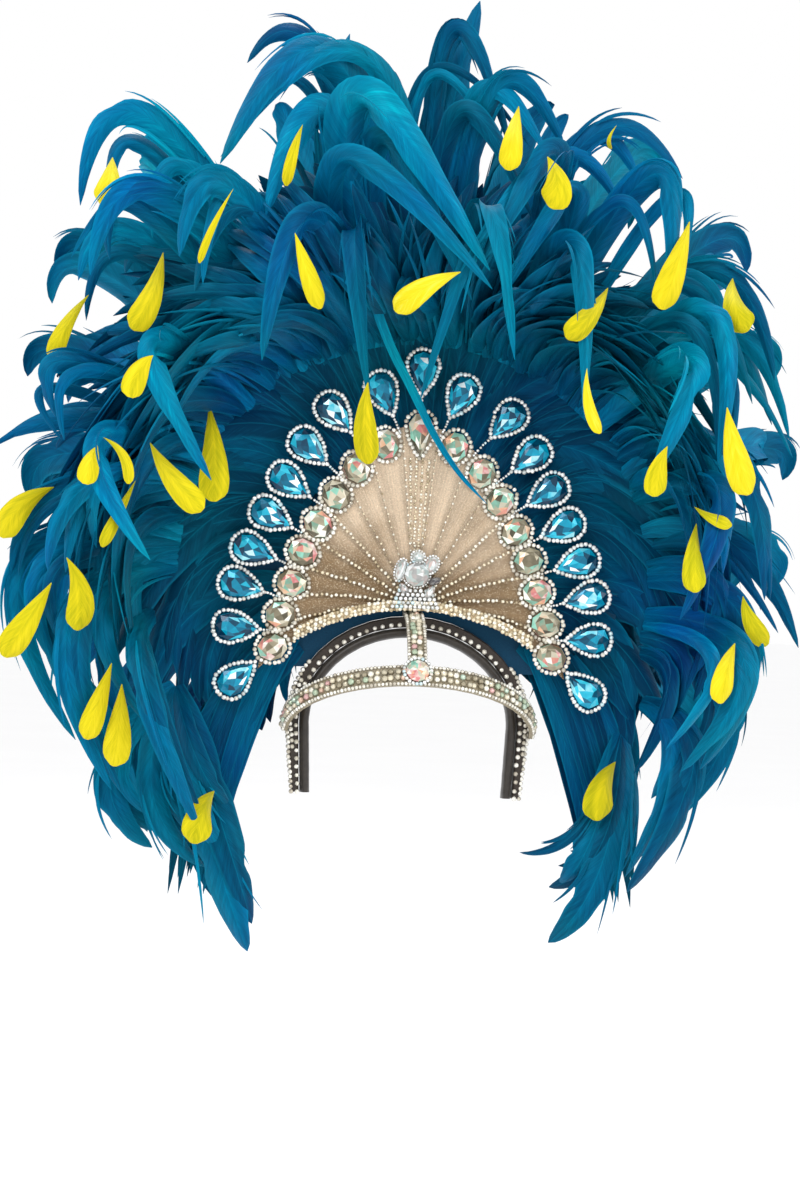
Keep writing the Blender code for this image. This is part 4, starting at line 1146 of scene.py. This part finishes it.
def make_yellow_tips():
    """Small yellow feathers: each leaves a blue feather's shaft by its quill and lies over its neighbours."""
    rng = np.random.default_rng(SEED + 1)
    shafts = np.concatenate([spine[len(spine) // BARE_SHAFT:] for spine in FEATHER_SPINES])
    places = view_places(shafts)
    blades = Blades()
    for tip in YELLOW_TIPS:
        hang = radians(tip.hang)
        x = PLUME_REACH * tip.x
        z = FAN_DATUM_Z + PLUME_REACH * tip.z
        length = YELLOW_LENGTH * tip.size
        root = carrier(shafts, places, x, z)
        end_x = x + length * cos(hang)
        end_z = z + length * sin(hang)
        middle_x = x + length * 0.5 * cos(hang)
        middle_z = z + length * 0.5 * sin(hang)
        middle = front_depth(shafts, places, middle_x, middle_z)
        depth = min(middle, front_depth(shafts, places, end_x, end_z)) - YELLOW_CLEARANCE
        depth = min(max(depth, root[1] - length * 0.8, YELLOW_LIMIT), root[1] + length * 0.1)
        side = length * rng.uniform(-0.20, 0.20)
        bulge_depth = max(min(depth, root[1]) - YELLOW_BULGE, YELLOW_LIMIT)
        bulge = seen(middle_x - side * sin(hang), middle_z + side * cos(hang), bulge_depth)
        spine = bend(root - (0, 0.003, 0), bulge, seen(end_x, end_z, depth), YELLOW_ROWS)
        blades.add(*blade(
            spine, YELLOW_WIDTH * tip.size * tip.slim, rng, FRONT, LEAF_FORM,
            camber=rng.uniform(0.25, 0.5), twist=rng.uniform(-0.6, 0.6),
            tint=rng.uniform(0.38, 0.80), flatness=0.3,
        ))
    blades.piece("yellow_feather_tips", YELLOW, "blue_feather")


# Fan, stones and their beads

FAN_APEX = Vector((0, 0, FAN_DATUM_Z + FAN_APEX_HEIGHT))


def both_sides(rows):
    """Places from the lowest right round the top to the lowest left."""
    right = [Vector((FAN_HALF_WIDTH * row.across, 0, FAN_DATUM_Z + FAN_HEIGHT * row.up)) for row in rows]
    return right + [Vector((-place.x, 0, place.z)) for place in reversed(right[:-1])]


INNER_PLACES = both_sides(INNER_STONES)
DROP_PLACES = both_sides(DROP_STONES)
SECTORS = len(INNER_PLACES)
STONE_BACK = FAN_FRONT - GAP


def stone_line(position):
    """The place at a position along the inner row, counted in stones from the lowest right."""
    index = min(max(int(position), 0), SECTORS - 2)
    return INNER_PLACES[index].lerp(INNER_PLACES[index + 1], position - index)


def fan_rib_point(position, along):
    """A point of the fan on the rib that ends at a place along the stone line."""
    rim = stone_line(position)
    outward = (rim - FAN_APEX).normalized()
    rim = rim + outward * FAN_RIM_MARGIN
    middle = (SECTORS - 1) / 2
    lowness = abs(position - middle) / (middle + 0.5)
    upright = Vector((-outward.z, 0, outward.x))
    if outward.x < 0:
        upright = -upright
    bow = upright * FAN_LOW_RIB_BOW * lowness**3 * 4 * along * (1 - along)
    return FAN_APEX.lerp(rim, along) + bow


def pear_outline(length, width, sides):
    widest = 0.77
    turns = [2 * pi * side / sides for side in range(sides)]
    return np.array([(length / 2 * cos(t), width / 2 * sin(t) * sin(t / 2) / widest) for t in turns])


def oval_outline(length, width, sides):
    turns = [2 * pi * (side + 0.5) / sides for side in range(sides)]
    return np.array([(length / 2 * cos(t), width / 2 * sin(t)) for t in turns])


# Rings of a cut stone from the girdle to the table: share of the outline and of the height, whether the
# corners are shifted by half a side, and how bright a drop's facets are above it: painted light, brighter
# toward the table
GemRing = namedtuple("GemRing", "share rise shifted glow")
GEM_RINGS = rows_of(GemRing, [
    (1.00, 0.00, False, 0.06),
    (0.97, 0.25, False, 0.22),
    (0.76, 0.72, True, 0.46),
    (0.48, 1.00, False, 0.62),
])


class Gems:
    """Gathers cut stones, then makes one piece of them."""

    def __init__(self):
        self.points = []
        self.faces = []
        self.flash = []
        self.count = 0

    def add(self, outline, place, turn, rng, height=GEM_HEIGHT, low=0.0, high=1.0, glow=0.0):
        """A stone over a closed outline: girdle, crown facets, a table, and a star of facets seen in it."""
        sides = len(outline)
        shifted = (outline + np.roll(outline, -1, axis=0)) / 2
        flat = []
        for ring in GEM_RINGS:
            corners = (shifted if ring.shifted else outline) * ring.share
            flat.append(np.column_stack([corners, np.full(sides, GEM_BASE + height * ring.rise)]))
        star = (-0.06 * outline[:, 0].max(), 0, GEM_BASE + height * 1.05)
        flat = np.vstack(flat + [star])
        rings = np.arange(len(GEM_RINGS) * sides).reshape(-1, sides)
        rings = np.hstack([rings, rings[:, :1]])
        faces = []
        for number, (a, b, c, d) in enumerate(grid_faces(rings)):
            table = number >= sides * 2
            faces += [(a, b, c), (a, c, d)] if table else [(a, b, d), (b, c, d)]
        faces += [(a, b, len(flat) - 1) for a, b in zip(rings[-1], rings[-1, 1:])]
        turned = []
        for x, y, z in flat:
            across, up = rotated(x, y, turn)
            turned.append((across + place.x, place.y - z, up + place.z))
        # flash: a random draw per facet pair, pulled toward its ring's glow: painted reflections and glints,
        # brightest toward the table
        draws = np.repeat(rng.uniform(0, 1, len(faces))[::2], 2)[:len(faces)]
        centred = np.repeat([ring.glow for ring in GEM_RINGS], sides * 2)[:len(faces)]
        lit = draws * (1 - glow) + centred * glow + glow * (draws - 0.5)
        flash = low + (high - low) * np.clip(lit, 0, 1)
        self.points.append(turned)
        self.faces.append(np.array(faces) + self.count)
        self.flash.append(flash)
        self.count += len(flat)

    def piece(self, name, material, slot, replaces=()):
        return make_piece(
            name, np.concatenate(self.points), np.concatenate(self.faces), material,
            smooth=False, slot=slot, replaces=replaces, flash=np.concatenate(self.flash),
        )


def ring_of_beads(beads, outline, place, depth, turn, size, gap=1.04):
    """Beads round an outline that lies in the front plane."""
    points = []
    for x, y in np.vstack([outline, outline[:1]]):
        across, up = rotated(x, y, turn)
        points.append((across + place.x, depth, up + place.z))
    for point in evenly(points, size * gap)[0][:-1]:
        beads.add(point, size)


def drop_anchor(index):
    """Where the stem of a drop ends, and how far before it the stem stops."""
    middle = len(DROP_PLACES) // 2
    if index == 0:
        return INNER_PLACES[0], INNER_LENGTH / 2
    if index == len(DROP_PLACES) - 1:
        return INNER_PLACES[-1], INNER_LENGTH / 2
    if index == middle:
        return INNER_PLACES[SECTORS // 2], CENTRE_LENGTH / 2
    after = index if index < middle else index - 1
    return INNER_PLACES[after - 1].lerp(INNER_PLACES[after], 0.5), STEM_START


def make_drops():
    """The outer row: pear stones, each in a ring of beads on a beaded stem."""
    rng = np.random.default_rng(SEED + 2)
    gems = Gems()
    beads = Beads()
    names = []
    for index, place in enumerate(DROP_PLACES):
        anchor, start = drop_anchor(index)
        inward = anchor - place
        turn = atan2(inward.z, inward.x)
        back = Vector((place.x, STONE_BACK, place.z))
        outline = pear_outline(DROP_LENGTH - SURROUND_BEAD, DROP_WIDTH - SURROUND_BEAD, 10)
        gems.add(outline, back, turn, rng, glow=0.55)
        ring = pear_outline(DROP_LENGTH, DROP_WIDTH, 48)
        ring_of_beads(beads, ring, place, STONE_BACK - RING_LIFT, turn, SURROUND_BEAD, 0.93)
        first = place + inward.normalized() * (DROP_LENGTH / 2 + 0.0005)
        last = anchor - inward.normalized() * start
        stem = [Vector((end.x, STONE_BACK - STEM_LIFT, end.z)) for end in (first, last)]
        beads.string(stem, STEM_BEAD, STEM_SPACING)
        names.append(f"stone_drop_{index + 1:02d}")
    gems.piece("drop_stones", AQUA, "aqua_stone", names)
    beads.piece("drop_beads", SILVER, "aqua_stone", names, jitter=0.0002)


def make_inner_stones():
    """The inner row: ovals at the sectors' ends, with a longer pear in the middle."""
    rng = np.random.default_rng(SEED + 3)
    gems = Gems()
    beads = Beads()
    names = []
    for index, place in enumerate(INNER_PLACES):
        outward = place - FAN_APEX
        back = Vector((place.x, STONE_BACK, place.z))
        turn = atan2(outward.z, outward.x)
        if index == SECTORS // 2:
            turn = -pi / 2
            outline = pear_outline(CENTRE_LENGTH - INNER_BEAD, CENTRE_WIDTH - INNER_BEAD, 9)
            ring = pear_outline(CENTRE_LENGTH, CENTRE_WIDTH, 48)
        else:
            outline = oval_outline(INNER_LENGTH - INNER_BEAD * 0.6, INNER_WIDTH - INNER_BEAD * 0.6, 8)
            ring = oval_outline(INNER_LENGTH * 1.05, INNER_WIDTH * 1.05, 40)
        gems.add(outline, back, turn, rng)
        ring_of_beads(beads, ring, place, STONE_BACK - RING_LIFT, turn, INNER_BEAD, 0.98)
        names.append(f"stone_inner_{index + 1:02d}")
    gems.piece("inner_stones", CRYSTAL, "clear_stone", names)
    beads.piece("inner_beads", PALE, "clear_stone", names, seed=SEED + 3, jitter=0.0002)


# Places along a rib where the pleats' height changes
PLEAT_PLACES = [0.10, 0.32, 0.62, 0.78, 1.0]
RIB_STEPS = 12


def rib_line(position, lift):
    """A line along the fan's rib at a place on the stone line, standing off its face."""
    points = []
    for step in range(RIB_STEPS + 1):
        along = 0.12 + 0.80 * step / RIB_STEPS
        point = fan_rib_point(position, along)
        crest = 0.0
        if position % 1:
            crest = np.interp(along, PLEAT_PLACES[:4], [0.5, 1, 1, 0]) * (FAN_FRONT - PLEAT_FRONT)
        points.append(Vector((point.x, FAN_FRONT - crest - lift, point.z)))
    return points


def make_fan_beads():
    """Strings of beads along the fan's ribs and its middle sector, and the rows of its lower trim."""
    ribs = Beads()
    for rib in range(SECTORS + 1):
        low = abs(rib - SECTORS / 2) > FINE_RIBS
        size = RIB_BEAD if low else RIB_BEAD * 0.72
        ribs.string(rib_line(rib - 0.5, RIB_BEAD * 0.35), size, RIB_BEAD * (1.30 if low else 1.9))
    centre_top = INNER_PLACES[SECTORS // 2].z - CENTRE_LENGTH / 2
    for across in CENTRE_RIBS:
        low = Vector((across * 0.8, FAN_FRONT - CLOTH_BACK, FAN_APEX.z + 0.040))
        high = Vector((across * 1.3, FAN_FRONT - CLOTH_BACK, centre_top))
        ribs.string([low, high], CENTRE_RIB_BEAD, CENTRE_RIB_SPACING)
    ribs.piece("fan_beads", CHAMPAGNE, "trim_pave", seed=SEED + 4, jitter=0.0003)
    trim = Beads()
    centre = FAN_DATUM_Z + TRIM_LOW_HEIGHT - TRIM_RADIUS
    for row in range(TRIM_ROWS):
        radius = TRIM_RADIUS + TRIM_WIDTH * (0.12 + 0.38 * row)
        reach = INNER_PLACES[0].x - INNER_LENGTH / 2 - TRIM_WIDTH / 2
        end = atan2(reach, sqrt(radius**2 - reach**2))
        points = []
        for step in range(TRIM_STEPS + 1):
            turn = -end + 2 * end * step / TRIM_STEPS
            points.append(Vector((radius * sin(turn), TRIM_FRONT, centre + radius * cos(turn))))
        trim.string(points, TRIM_BEAD, TRIM_SPACING)
    trim.piece("fan_trim_beads", CHAMPAGNE, "trim_pave", seed=SEED + 5, jitter=0.0004)


def fan_depth(position, along):
    """How far the pleated cloth stands off the fan's face: a ridge at each rib and at fine pleats."""
    crest = np.interp(along, PLEAT_PLACES, [0.5, 1, 1, 0.15, 0]) * (FAN_FRONT - PLEAT_FRONT)
    share = (position + 0.5) % 1
    rib = (1 - min(share, 1 - share) * 2) ** 3
    fine = 0.5 + 0.5 * cos(2 * pi * share * FINE_PLEATS)
    return crest * rib + FINE_PLEAT_DEPTH * fine * np.interp(along, [0.1, 0.5, 1.0], [0.3, 1.0, 0.5])


def make_fan_cloth():
    """The fan's own pleated cloth, a thin closed leaf over the plate."""
    columns = SECTORS * SECTOR_COLUMNS
    rows = CLOTH_ROWS
    front = []
    back = []
    shade = []
    for row in range(rows + 1):
        along = CLOTH_START + CLOTH_RUN * row / rows
        for column in range(columns + 1):
            position = -0.5 + SECTORS * column / columns
            point = fan_rib_point(position, along)
            front.append((point.x, FAN_FRONT - CLOTH_LIFT - fan_depth(position, along), point.z))
            back.append((point.x, FAN_FRONT + CLOTH_BACK, point.z))
            lowness = abs(position - (SECTORS - 1) / 2) / (SECTORS / 2)
            shade.append(((position + 0.5) % 1, along, lowness + 0.25 * (1 - along)))
    grid = np.arange((rows + 1) * (columns + 1)).reshape(rows + 1, columns + 1)
    faces = [grid_faces(grid), (grid_faces(grid) + grid.size)[:, [0, 3, 2, 1]]]
    rim = np.concatenate([grid[0], grid[1:, -1], grid[-1, -2::-1], grid[-2:0:-1, 0]])
    after = np.roll(rim, -1)
    faces.append(np.stack([rim, rim + grid.size, after + grid.size, after], axis=1))
    make_piece(
        "fan_cloth", front + back, np.concatenate(faces), FAN_CLOTH,
        slot="fan_fabric", replaces=["fan_plate"], pleat=shade + shade,
    )


# The ornament's beaded foot, the rings round its stones, and how far its large stones stand forward
ORNAMENT_ROWS = 5
ORNAMENT_FOOT_BEADS = 11
ORNAMENT_HALF_FOOT = 0.0165
ORNAMENT_TAPER = 0.0012
ORNAMENT_ROW_RISE = 0.0030
ORNAMENT_BEAD = 0.0032
ORNAMENT_RING = 0.0012
ORNAMENT_LARGE = 0.015
ORNAMENT_STEP = 0.0015

# Stones of the ornament: place across and above its foot, length, width, turn in degrees, and the part of
# the colour scale that the facets take
ORNAMENT_STONES = [
    (0.0005, 0.0255, 0.0190, 0.0180, 0, 0.40, 1.00),
    (0.0010, 0.0385, 0.0090, 0.0080, 0, 0.70, 0.90),
    (0.0110, 0.0330, 0.0130, 0.0095, 60, 0.55, 1.00),
    (-0.0115, 0.0285, 0.0160, 0.0070, 75, 0.60, 0.95),
    (0.0140, 0.0210, 0.0100, 0.0060, 20, 0.00, 0.50),
    (-0.0090, 0.0150, 0.0090, 0.0060, 130, 0.30, 1.00),
    (0.0105, 0.0130, 0.0110, 0.0060, 55, 0.40, 1.00),
]


def make_ornament():
    """The cluster at the fan's foot: cut stones over a beaded base."""
    rng = np.random.default_rng(SEED + 12)
    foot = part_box("centre_ornament")[0][2]
    gems = Gems()
    for x, z, length, width, turn, dark, bright in ORNAMENT_STONES:
        outline = oval_outline(length, width, 9)
        forward = ORNAMENT_STEP if length > ORNAMENT_LARGE else 0.0
        place = Vector((x, TRIM_FRONT - forward, foot + z))
        gems.add(outline, place, radians(turn), rng, ORNAMENT_GEM_HEIGHT, dark, bright)
    gems.piece("ornament_stones", CLEAR, "clear_stone", ["centre_ornament"])
    beads = Beads()
    for row in range(ORNAMENT_ROWS):
        half = ORNAMENT_HALF_FOOT - ORNAMENT_TAPER * row
        count = ORNAMENT_FOOT_BEADS - row
        height = foot + ORNAMENT_ROW_RISE * (0.5 + row)
        for index in range(count):
            x = -half + 2 * half * index / (count - 1)
            beads.add((x, TRIM_FRONT - CLOTH_BACK, height), ORNAMENT_BEAD)
    for x, z, length, width, turn, dark, bright in ORNAMENT_STONES[:4]:
        centre = Vector((x, 0, foot + z))
        ring = oval_outline(length + ORNAMENT_RING, width + ORNAMENT_RING, 40)
        ring_of_beads(beads, ring, centre, TRIM_FRONT - STEM_LIFT, radians(turn), STEM_BEAD)
    beads.piece("ornament_beads", SILVER, "clear_stone", ["centre_ornament"], seed=SEED + 13)


# Hoop, band and strap


def hoop_path(offset, foot_offset, arch_steps=60, leg_steps=12):
    """Points down the middle of a layer of the hoop and its outward normals, from left foot to right."""
    points = []
    for step in range(leg_steps):
        share = step / leg_steps
        across = HEAD_HALF_WIDTH - LEG_LEAN * (1 - share) + foot_offset + (offset - foot_offset) * share
        height = -HEAD_RISE - LEG_LENGTH * (1 - share)
        points.append((Vector((-across, 0, height)), Vector((-1, 0, 0))))
    for step in range(arch_steps + 1):
        turn = pi * (1 - step / arch_steps)
        wide = HEAD_HALF_WIDTH + offset
        tall = HEAD_RISE + offset
        point = Vector((wide * cos(turn), 0, -HEAD_RISE + tall * sin(turn)))
        points.append((point, Vector((cos(turn) / wide, 0, sin(turn) / tall)).normalized()))
    legs = points[:leg_steps]
    return points + [(Vector((-p.x, 0, p.z)), Vector((1, 0, 0))) for p, _ in reversed(legs)]


def make_pad():
    """The pad's cover: a soft rounded tube with slight puckers."""
    rng = np.random.default_rng(SEED + 6)
    path = hoop_path(PAD_THICKNESS / 2, PAD_THICKNESS / 2)
    sides = PAD_SIDES
    points = []
    for index, (point, normal) in enumerate(path):
        pucker = 1 + 0.02 * sin(index * 1.9) + rng.normal(0, 0.008)
        for side in range(sides):
            turn = 2 * pi * side / sides
            out = sin(turn)
            swell = (abs(out) ** PAD_ROUNDNESS) * (1 if out > 0 else -1) * PAD_THICKNESS * 0.46 * pucker
            points.append(point + normal * swell + FRONT * (cos(turn) * PAD_WIDTH * 0.49))
    grid = np.arange(len(points)).reshape(-1, sides)
    faces = list(grid_faces(np.hstack([grid, grid[:, :1]])))
    for ring, last in ((grid[0], False), (grid[-1], True)):
        for side in range(1, sides // 2):
            a, b, c, d = ring[[side, side - 1, -side, (1 - side) % sides]]
            faces.append((c, d, b, a) if last else (a, b, d, c))
    points = [tuple(point) for point in points]
    piece = make_piece("pad_cover", points, faces, SATIN, slot="pad_satin", replaces=["hoop_pad"])


def band_line():
    """The middle of the forehead band, from its left end over the forehead to its right end."""
    half = HEAD_HALF_WIDTH + RIM_OUTER + GAP + BAND_THICKNESS / 2
    points = []
    for step in range(BAND_STEPS + 1):
        turn = pi * (1 - step / BAND_STEPS)
        forward = BAND_SIDE_RUN / 2 + BAND_DEPTH * sin(turn)
        points.append(Vector((half * cos(turn), -forward, -HEAD_RISE + BAND_RISE * sin(turn))))
    run = Vector((0, BAND_SIDE_RUN, 0))
    return [points[0] + run] + points + [points[-1] + run]


BAND_UP = Vector((0, sin(BAND_LEAN), cos(BAND_LEAN)))
BAND_FRONT = Vector((0, -BAND_SIDE_RUN / 2 - BAND_DEPTH, -HEAD_RISE + BAND_RISE))

# Rows of band and strap: place across as a share of the width, the stones' size, whether the row is an edge
BAND_ROWS = [(-0.43, 0.0027, True), (-0.145, 0.0046, False), (0.145, 0.0046, False), (0.43, 0.0027, True)]


def set_rows(path, rows, spacing, out_of, thickness, edges, pave):
    """Stones along a strip, row by row: out_of tells which way is out of it, edge rows go to edges."""
    for across, size, edge in rows:
        points, along = evenly([point + across for point in path], size * spacing)
        for point, way in zip(points, along):
            out = out_of(Vector(point), Vector(way))
            (edges if edge else pave).add(Vector(point) + out * (thickness / 2 + size * 0.15), size)


def make_band_beads():
    """Two edge rows of beads and two rows of stones on the forehead band and on the strap."""
    edges = Beads()
    pave = Beads()

    def band_out(point, way):
        out = BAND_UP.cross(way).normalized()
        return out if out.dot(Vector((point.x, -0.03, 0))) > 0 else -out

    def strap_out(point, way):
        out = Vector((1, 0, 0)).cross(way).normalized()
        return out if out.y < 0 else -out

    rows = [(BAND_UP * (BAND_HEIGHT * share), size, edge) for share, size, edge in BAND_ROWS]
    set_rows(band_line(), rows, 1.02, band_out, BAND_THICKNESS, edges, pave)
    top = RIM_OUTER + GAP + STRAP_THICKNESS / 2
    low = BAND_FRONT + BAND_UP * (BAND_HEIGHT / 2 + GAP)
    control = low + BAND_UP * ((top - low.z) / BAND_UP.z)
    line = [Vector(point) for point in bend(low, control, (0, -GAP, top), 30)]
    rows = [(Vector((STRAP_WIDTH * share, 0, 0)), size, edge) for share, size, edge in BAND_ROWS]
    set_rows(line, rows, 1.02, strap_out, STRAP_THICKNESS, edges, pave)
    edges.piece("band_edge_beads", PALE, "band_pave", seed=SEED + 7)
    pave.piece("band_pave_stones", PAVE, "band_pave", seed=SEED + 8, jitter=0.0004)


# Rows on the rim's front face: place across from its middle as a share of its thickness, the spacing, and
# the heights between which the row runs
RIM_FRONT_ROWS = [(-0.24, 0.0062, -1.0, 1.0), (0.26, 0.0042, -0.085, -0.030)]
RIM_SIDE_ROWS = [0.36, 0.0, -0.36]
RIM_SIDE_TOP = -0.018
RIM_SIDE_SPACING = 0.0037


def make_rim_beads():
    """Stones on the hoop's rim: rows on its front face and, low down, rows on its outer side."""
    rows = Beads()
    for share, spacing, foot, top in RIM_FRONT_ROWS:
        across = 0.5 + share
        path = hoop_path(RIM_INNER + RIM_THICKNESS * across, RIM_INNER + RIM_FOOT_THICKNESS * across)
        line = [point + FRONT * (RIM_WIDTH / 2 + 0.0005) for point, normal in path]
        for point in evenly(line, spacing)[0]:
            if foot < point[2] < top:
                rows.add(point, RIM_BEAD * 1.08)
    path = hoop_path(RIM_OUTER, RIM_INNER + RIM_FOOT_THICKNESS)
    for share in RIM_SIDE_ROWS:
        line = [point + FRONT * (RIM_WIDTH * share) + normal * 0.0004 for point, normal in path]
        for point in evenly(line, RIM_SIDE_SPACING)[0]:
            if point[2] < RIM_SIDE_TOP:
                rows.add(point, RIM_BEAD)
    rows.piece("hoop_rhinestones", PALE, "rim_beads", seed=SEED + 9, jitter=0.0002)


# Place on the crystal's colour scale of each side of the forehead stone, from the right round over the top;
# the 0.94 places are near white, painted glints
FOREHEAD_COLOURS = [0.70, 0.94, 0.52, 0.55, 0.94, 0.84, 0.87, 0.60, 0.77, 0.94]


def make_forehead_stone():
    """The round stone where band and strap meet, made flat and then laid on the leaning band."""
    rng = np.random.default_rng(SEED + 10)
    gems = Gems()
    sides = len(FOREHEAD_COLOURS)
    place = Vector((0, 0, 0))
    gems.add(oval_outline(FOREHEAD_GEM, FOREHEAD_GEM, sides), place, 0.0, rng, FOREHEAD_GEM_HEIGHT)
    for face in range(len(gems.flash[0])):
        facet = (face // 2 if face < sides * 6 else face) % sides
        gems.flash[0][face] = FOREHEAD_COLOURS[facet] + rng.uniform(-0.04, 0.04)
    stone = gems.piece("forehead_gem", CRYSTAL, "clear_stone", ["forehead_stone"])
    beads = Beads()
    ring = oval_outline(FOREHEAD_RING, FOREHEAD_RING, 48)
    ring_of_beads(beads, ring, place, -GEM_BASE, 0.0, RIB_BEAD)
    ring = beads.piece("forehead_gem_beads", SILVER, "clear_stone", ["forehead_stone"], seed=SEED + 11)
    out = Vector((0, -cos(BAND_LEAN), sin(BAND_LEAN)))
    centre = BAND_FRONT + out * (BAND_THICKNESS / 2 + GAP * 2) + BAND_UP * STRAP_THICKNESS
    turn = Matrix.Translation(centre) @ Matrix.Rotation(-BAND_LEAN, 4, "X")
    for item in (stone, ring):
        item.data.transform(turn)


def dress_frame():
    """New surfaces for the solids that stay in sight."""
    dressed = {
        "fan_base_trim": TRIM_CLOTH,
        "backing_panel": FELT,
        "hoop_frame": RIM_CLOTH,
        "forehead_band": SETTING,
        "centre_strap": SETTING,
    }
    for name, material in dressed.items():
        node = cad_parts[name]
        for place in node.material_slots:
            place.material = material


# Stage


FLOOR_REACH = 40.0
FLOOR_HEIGHT = -0.42

# Soft lamps: place, width, power and the point that each looks at
LAMPS = {
    "key": ((-1.2, -2.2, 1.9), 1.2, 30, (0, 0, 0.12)),
    "fill": ((1.8, -1.6, 0.8), 1.2, 12, (0, 0, 0.10)),
    "top": ((0.2, 0.6, 2.4), 1.0, 20, (0, 0, 0.10)),
}


def make_stage():
    """A pale paper floor, a white surround and three soft lamps."""
    corners = [(FLOOR_REACH * x, FLOOR_REACH * y) for x, y in ((-1, -1), (1, -1), (1, 1), (-1, 1))]
    mesh = bpy.data.meshes.new("floor")
    mesh.from_pydata([(x, y, FLOOR_HEIGHT) for x, y in corners], [], [(0, 1, 2, 3)])
    floor = new_object("floor", mesh)
    surface = Surface("floor_paper", 0.9)
    grain = surface.noise(3.0)
    surface.set(Base_Color=surface.ramp(grain, (0.2, (0.95, 0.95, 0.955)), (0.8, (0.97, 0.97, 0.975))))
    mesh.materials.append(surface.material)
    world = bpy.data.worlds.new("studio")
    bpy.context.scene.world = world
    world.use_nodes = True
    background = world.node_tree.nodes["Background"]
    background.inputs["Color"].default_value = (1.0, 1.0, 1.0, 1.0)
    background.inputs["Strength"].default_value = 1.0
    for name, (place, size, power, aim) in LAMPS.items():
        lamp = bpy.data.lights.new(name, "AREA")
        lamp.energy = power
        lamp.size = size
        item = new_object(name, lamp)
        item.location = place
        item.rotation_mode = "QUATERNION"
        item.rotation_quaternion = (Vector(aim) - Vector(place)).to_track_quat("-Z", "Y")


def make_camera():
    """The view that the front is seen in, with saturated colours kept as they are."""
    bpy.context.scene.view_settings.view_transform = "Standard"
    camera = bpy.data.cameras.new("camera")
    camera.lens = LENS
    camera.sensor_width = SENSOR
    item = new_object("camera", camera)
    turn = Matrix((VIEW_RIGHT, VIEW_UP, VIEW_BACK)).transposed().to_4x4()
    item.matrix_world = Matrix.Translation(CAMERA_PLACE) @ turn
    bpy.context.scene.camera = item


make_camera()
make_stage()
make_blue_feathers()
make_yellow_tips()
make_loose_strand()
make_drops()
make_inner_stones()
make_fan_beads()
make_fan_cloth()
make_ornament()
make_pad()
make_band_beads()
make_rim_beads()
make_forehead_stone()
dress_frame()
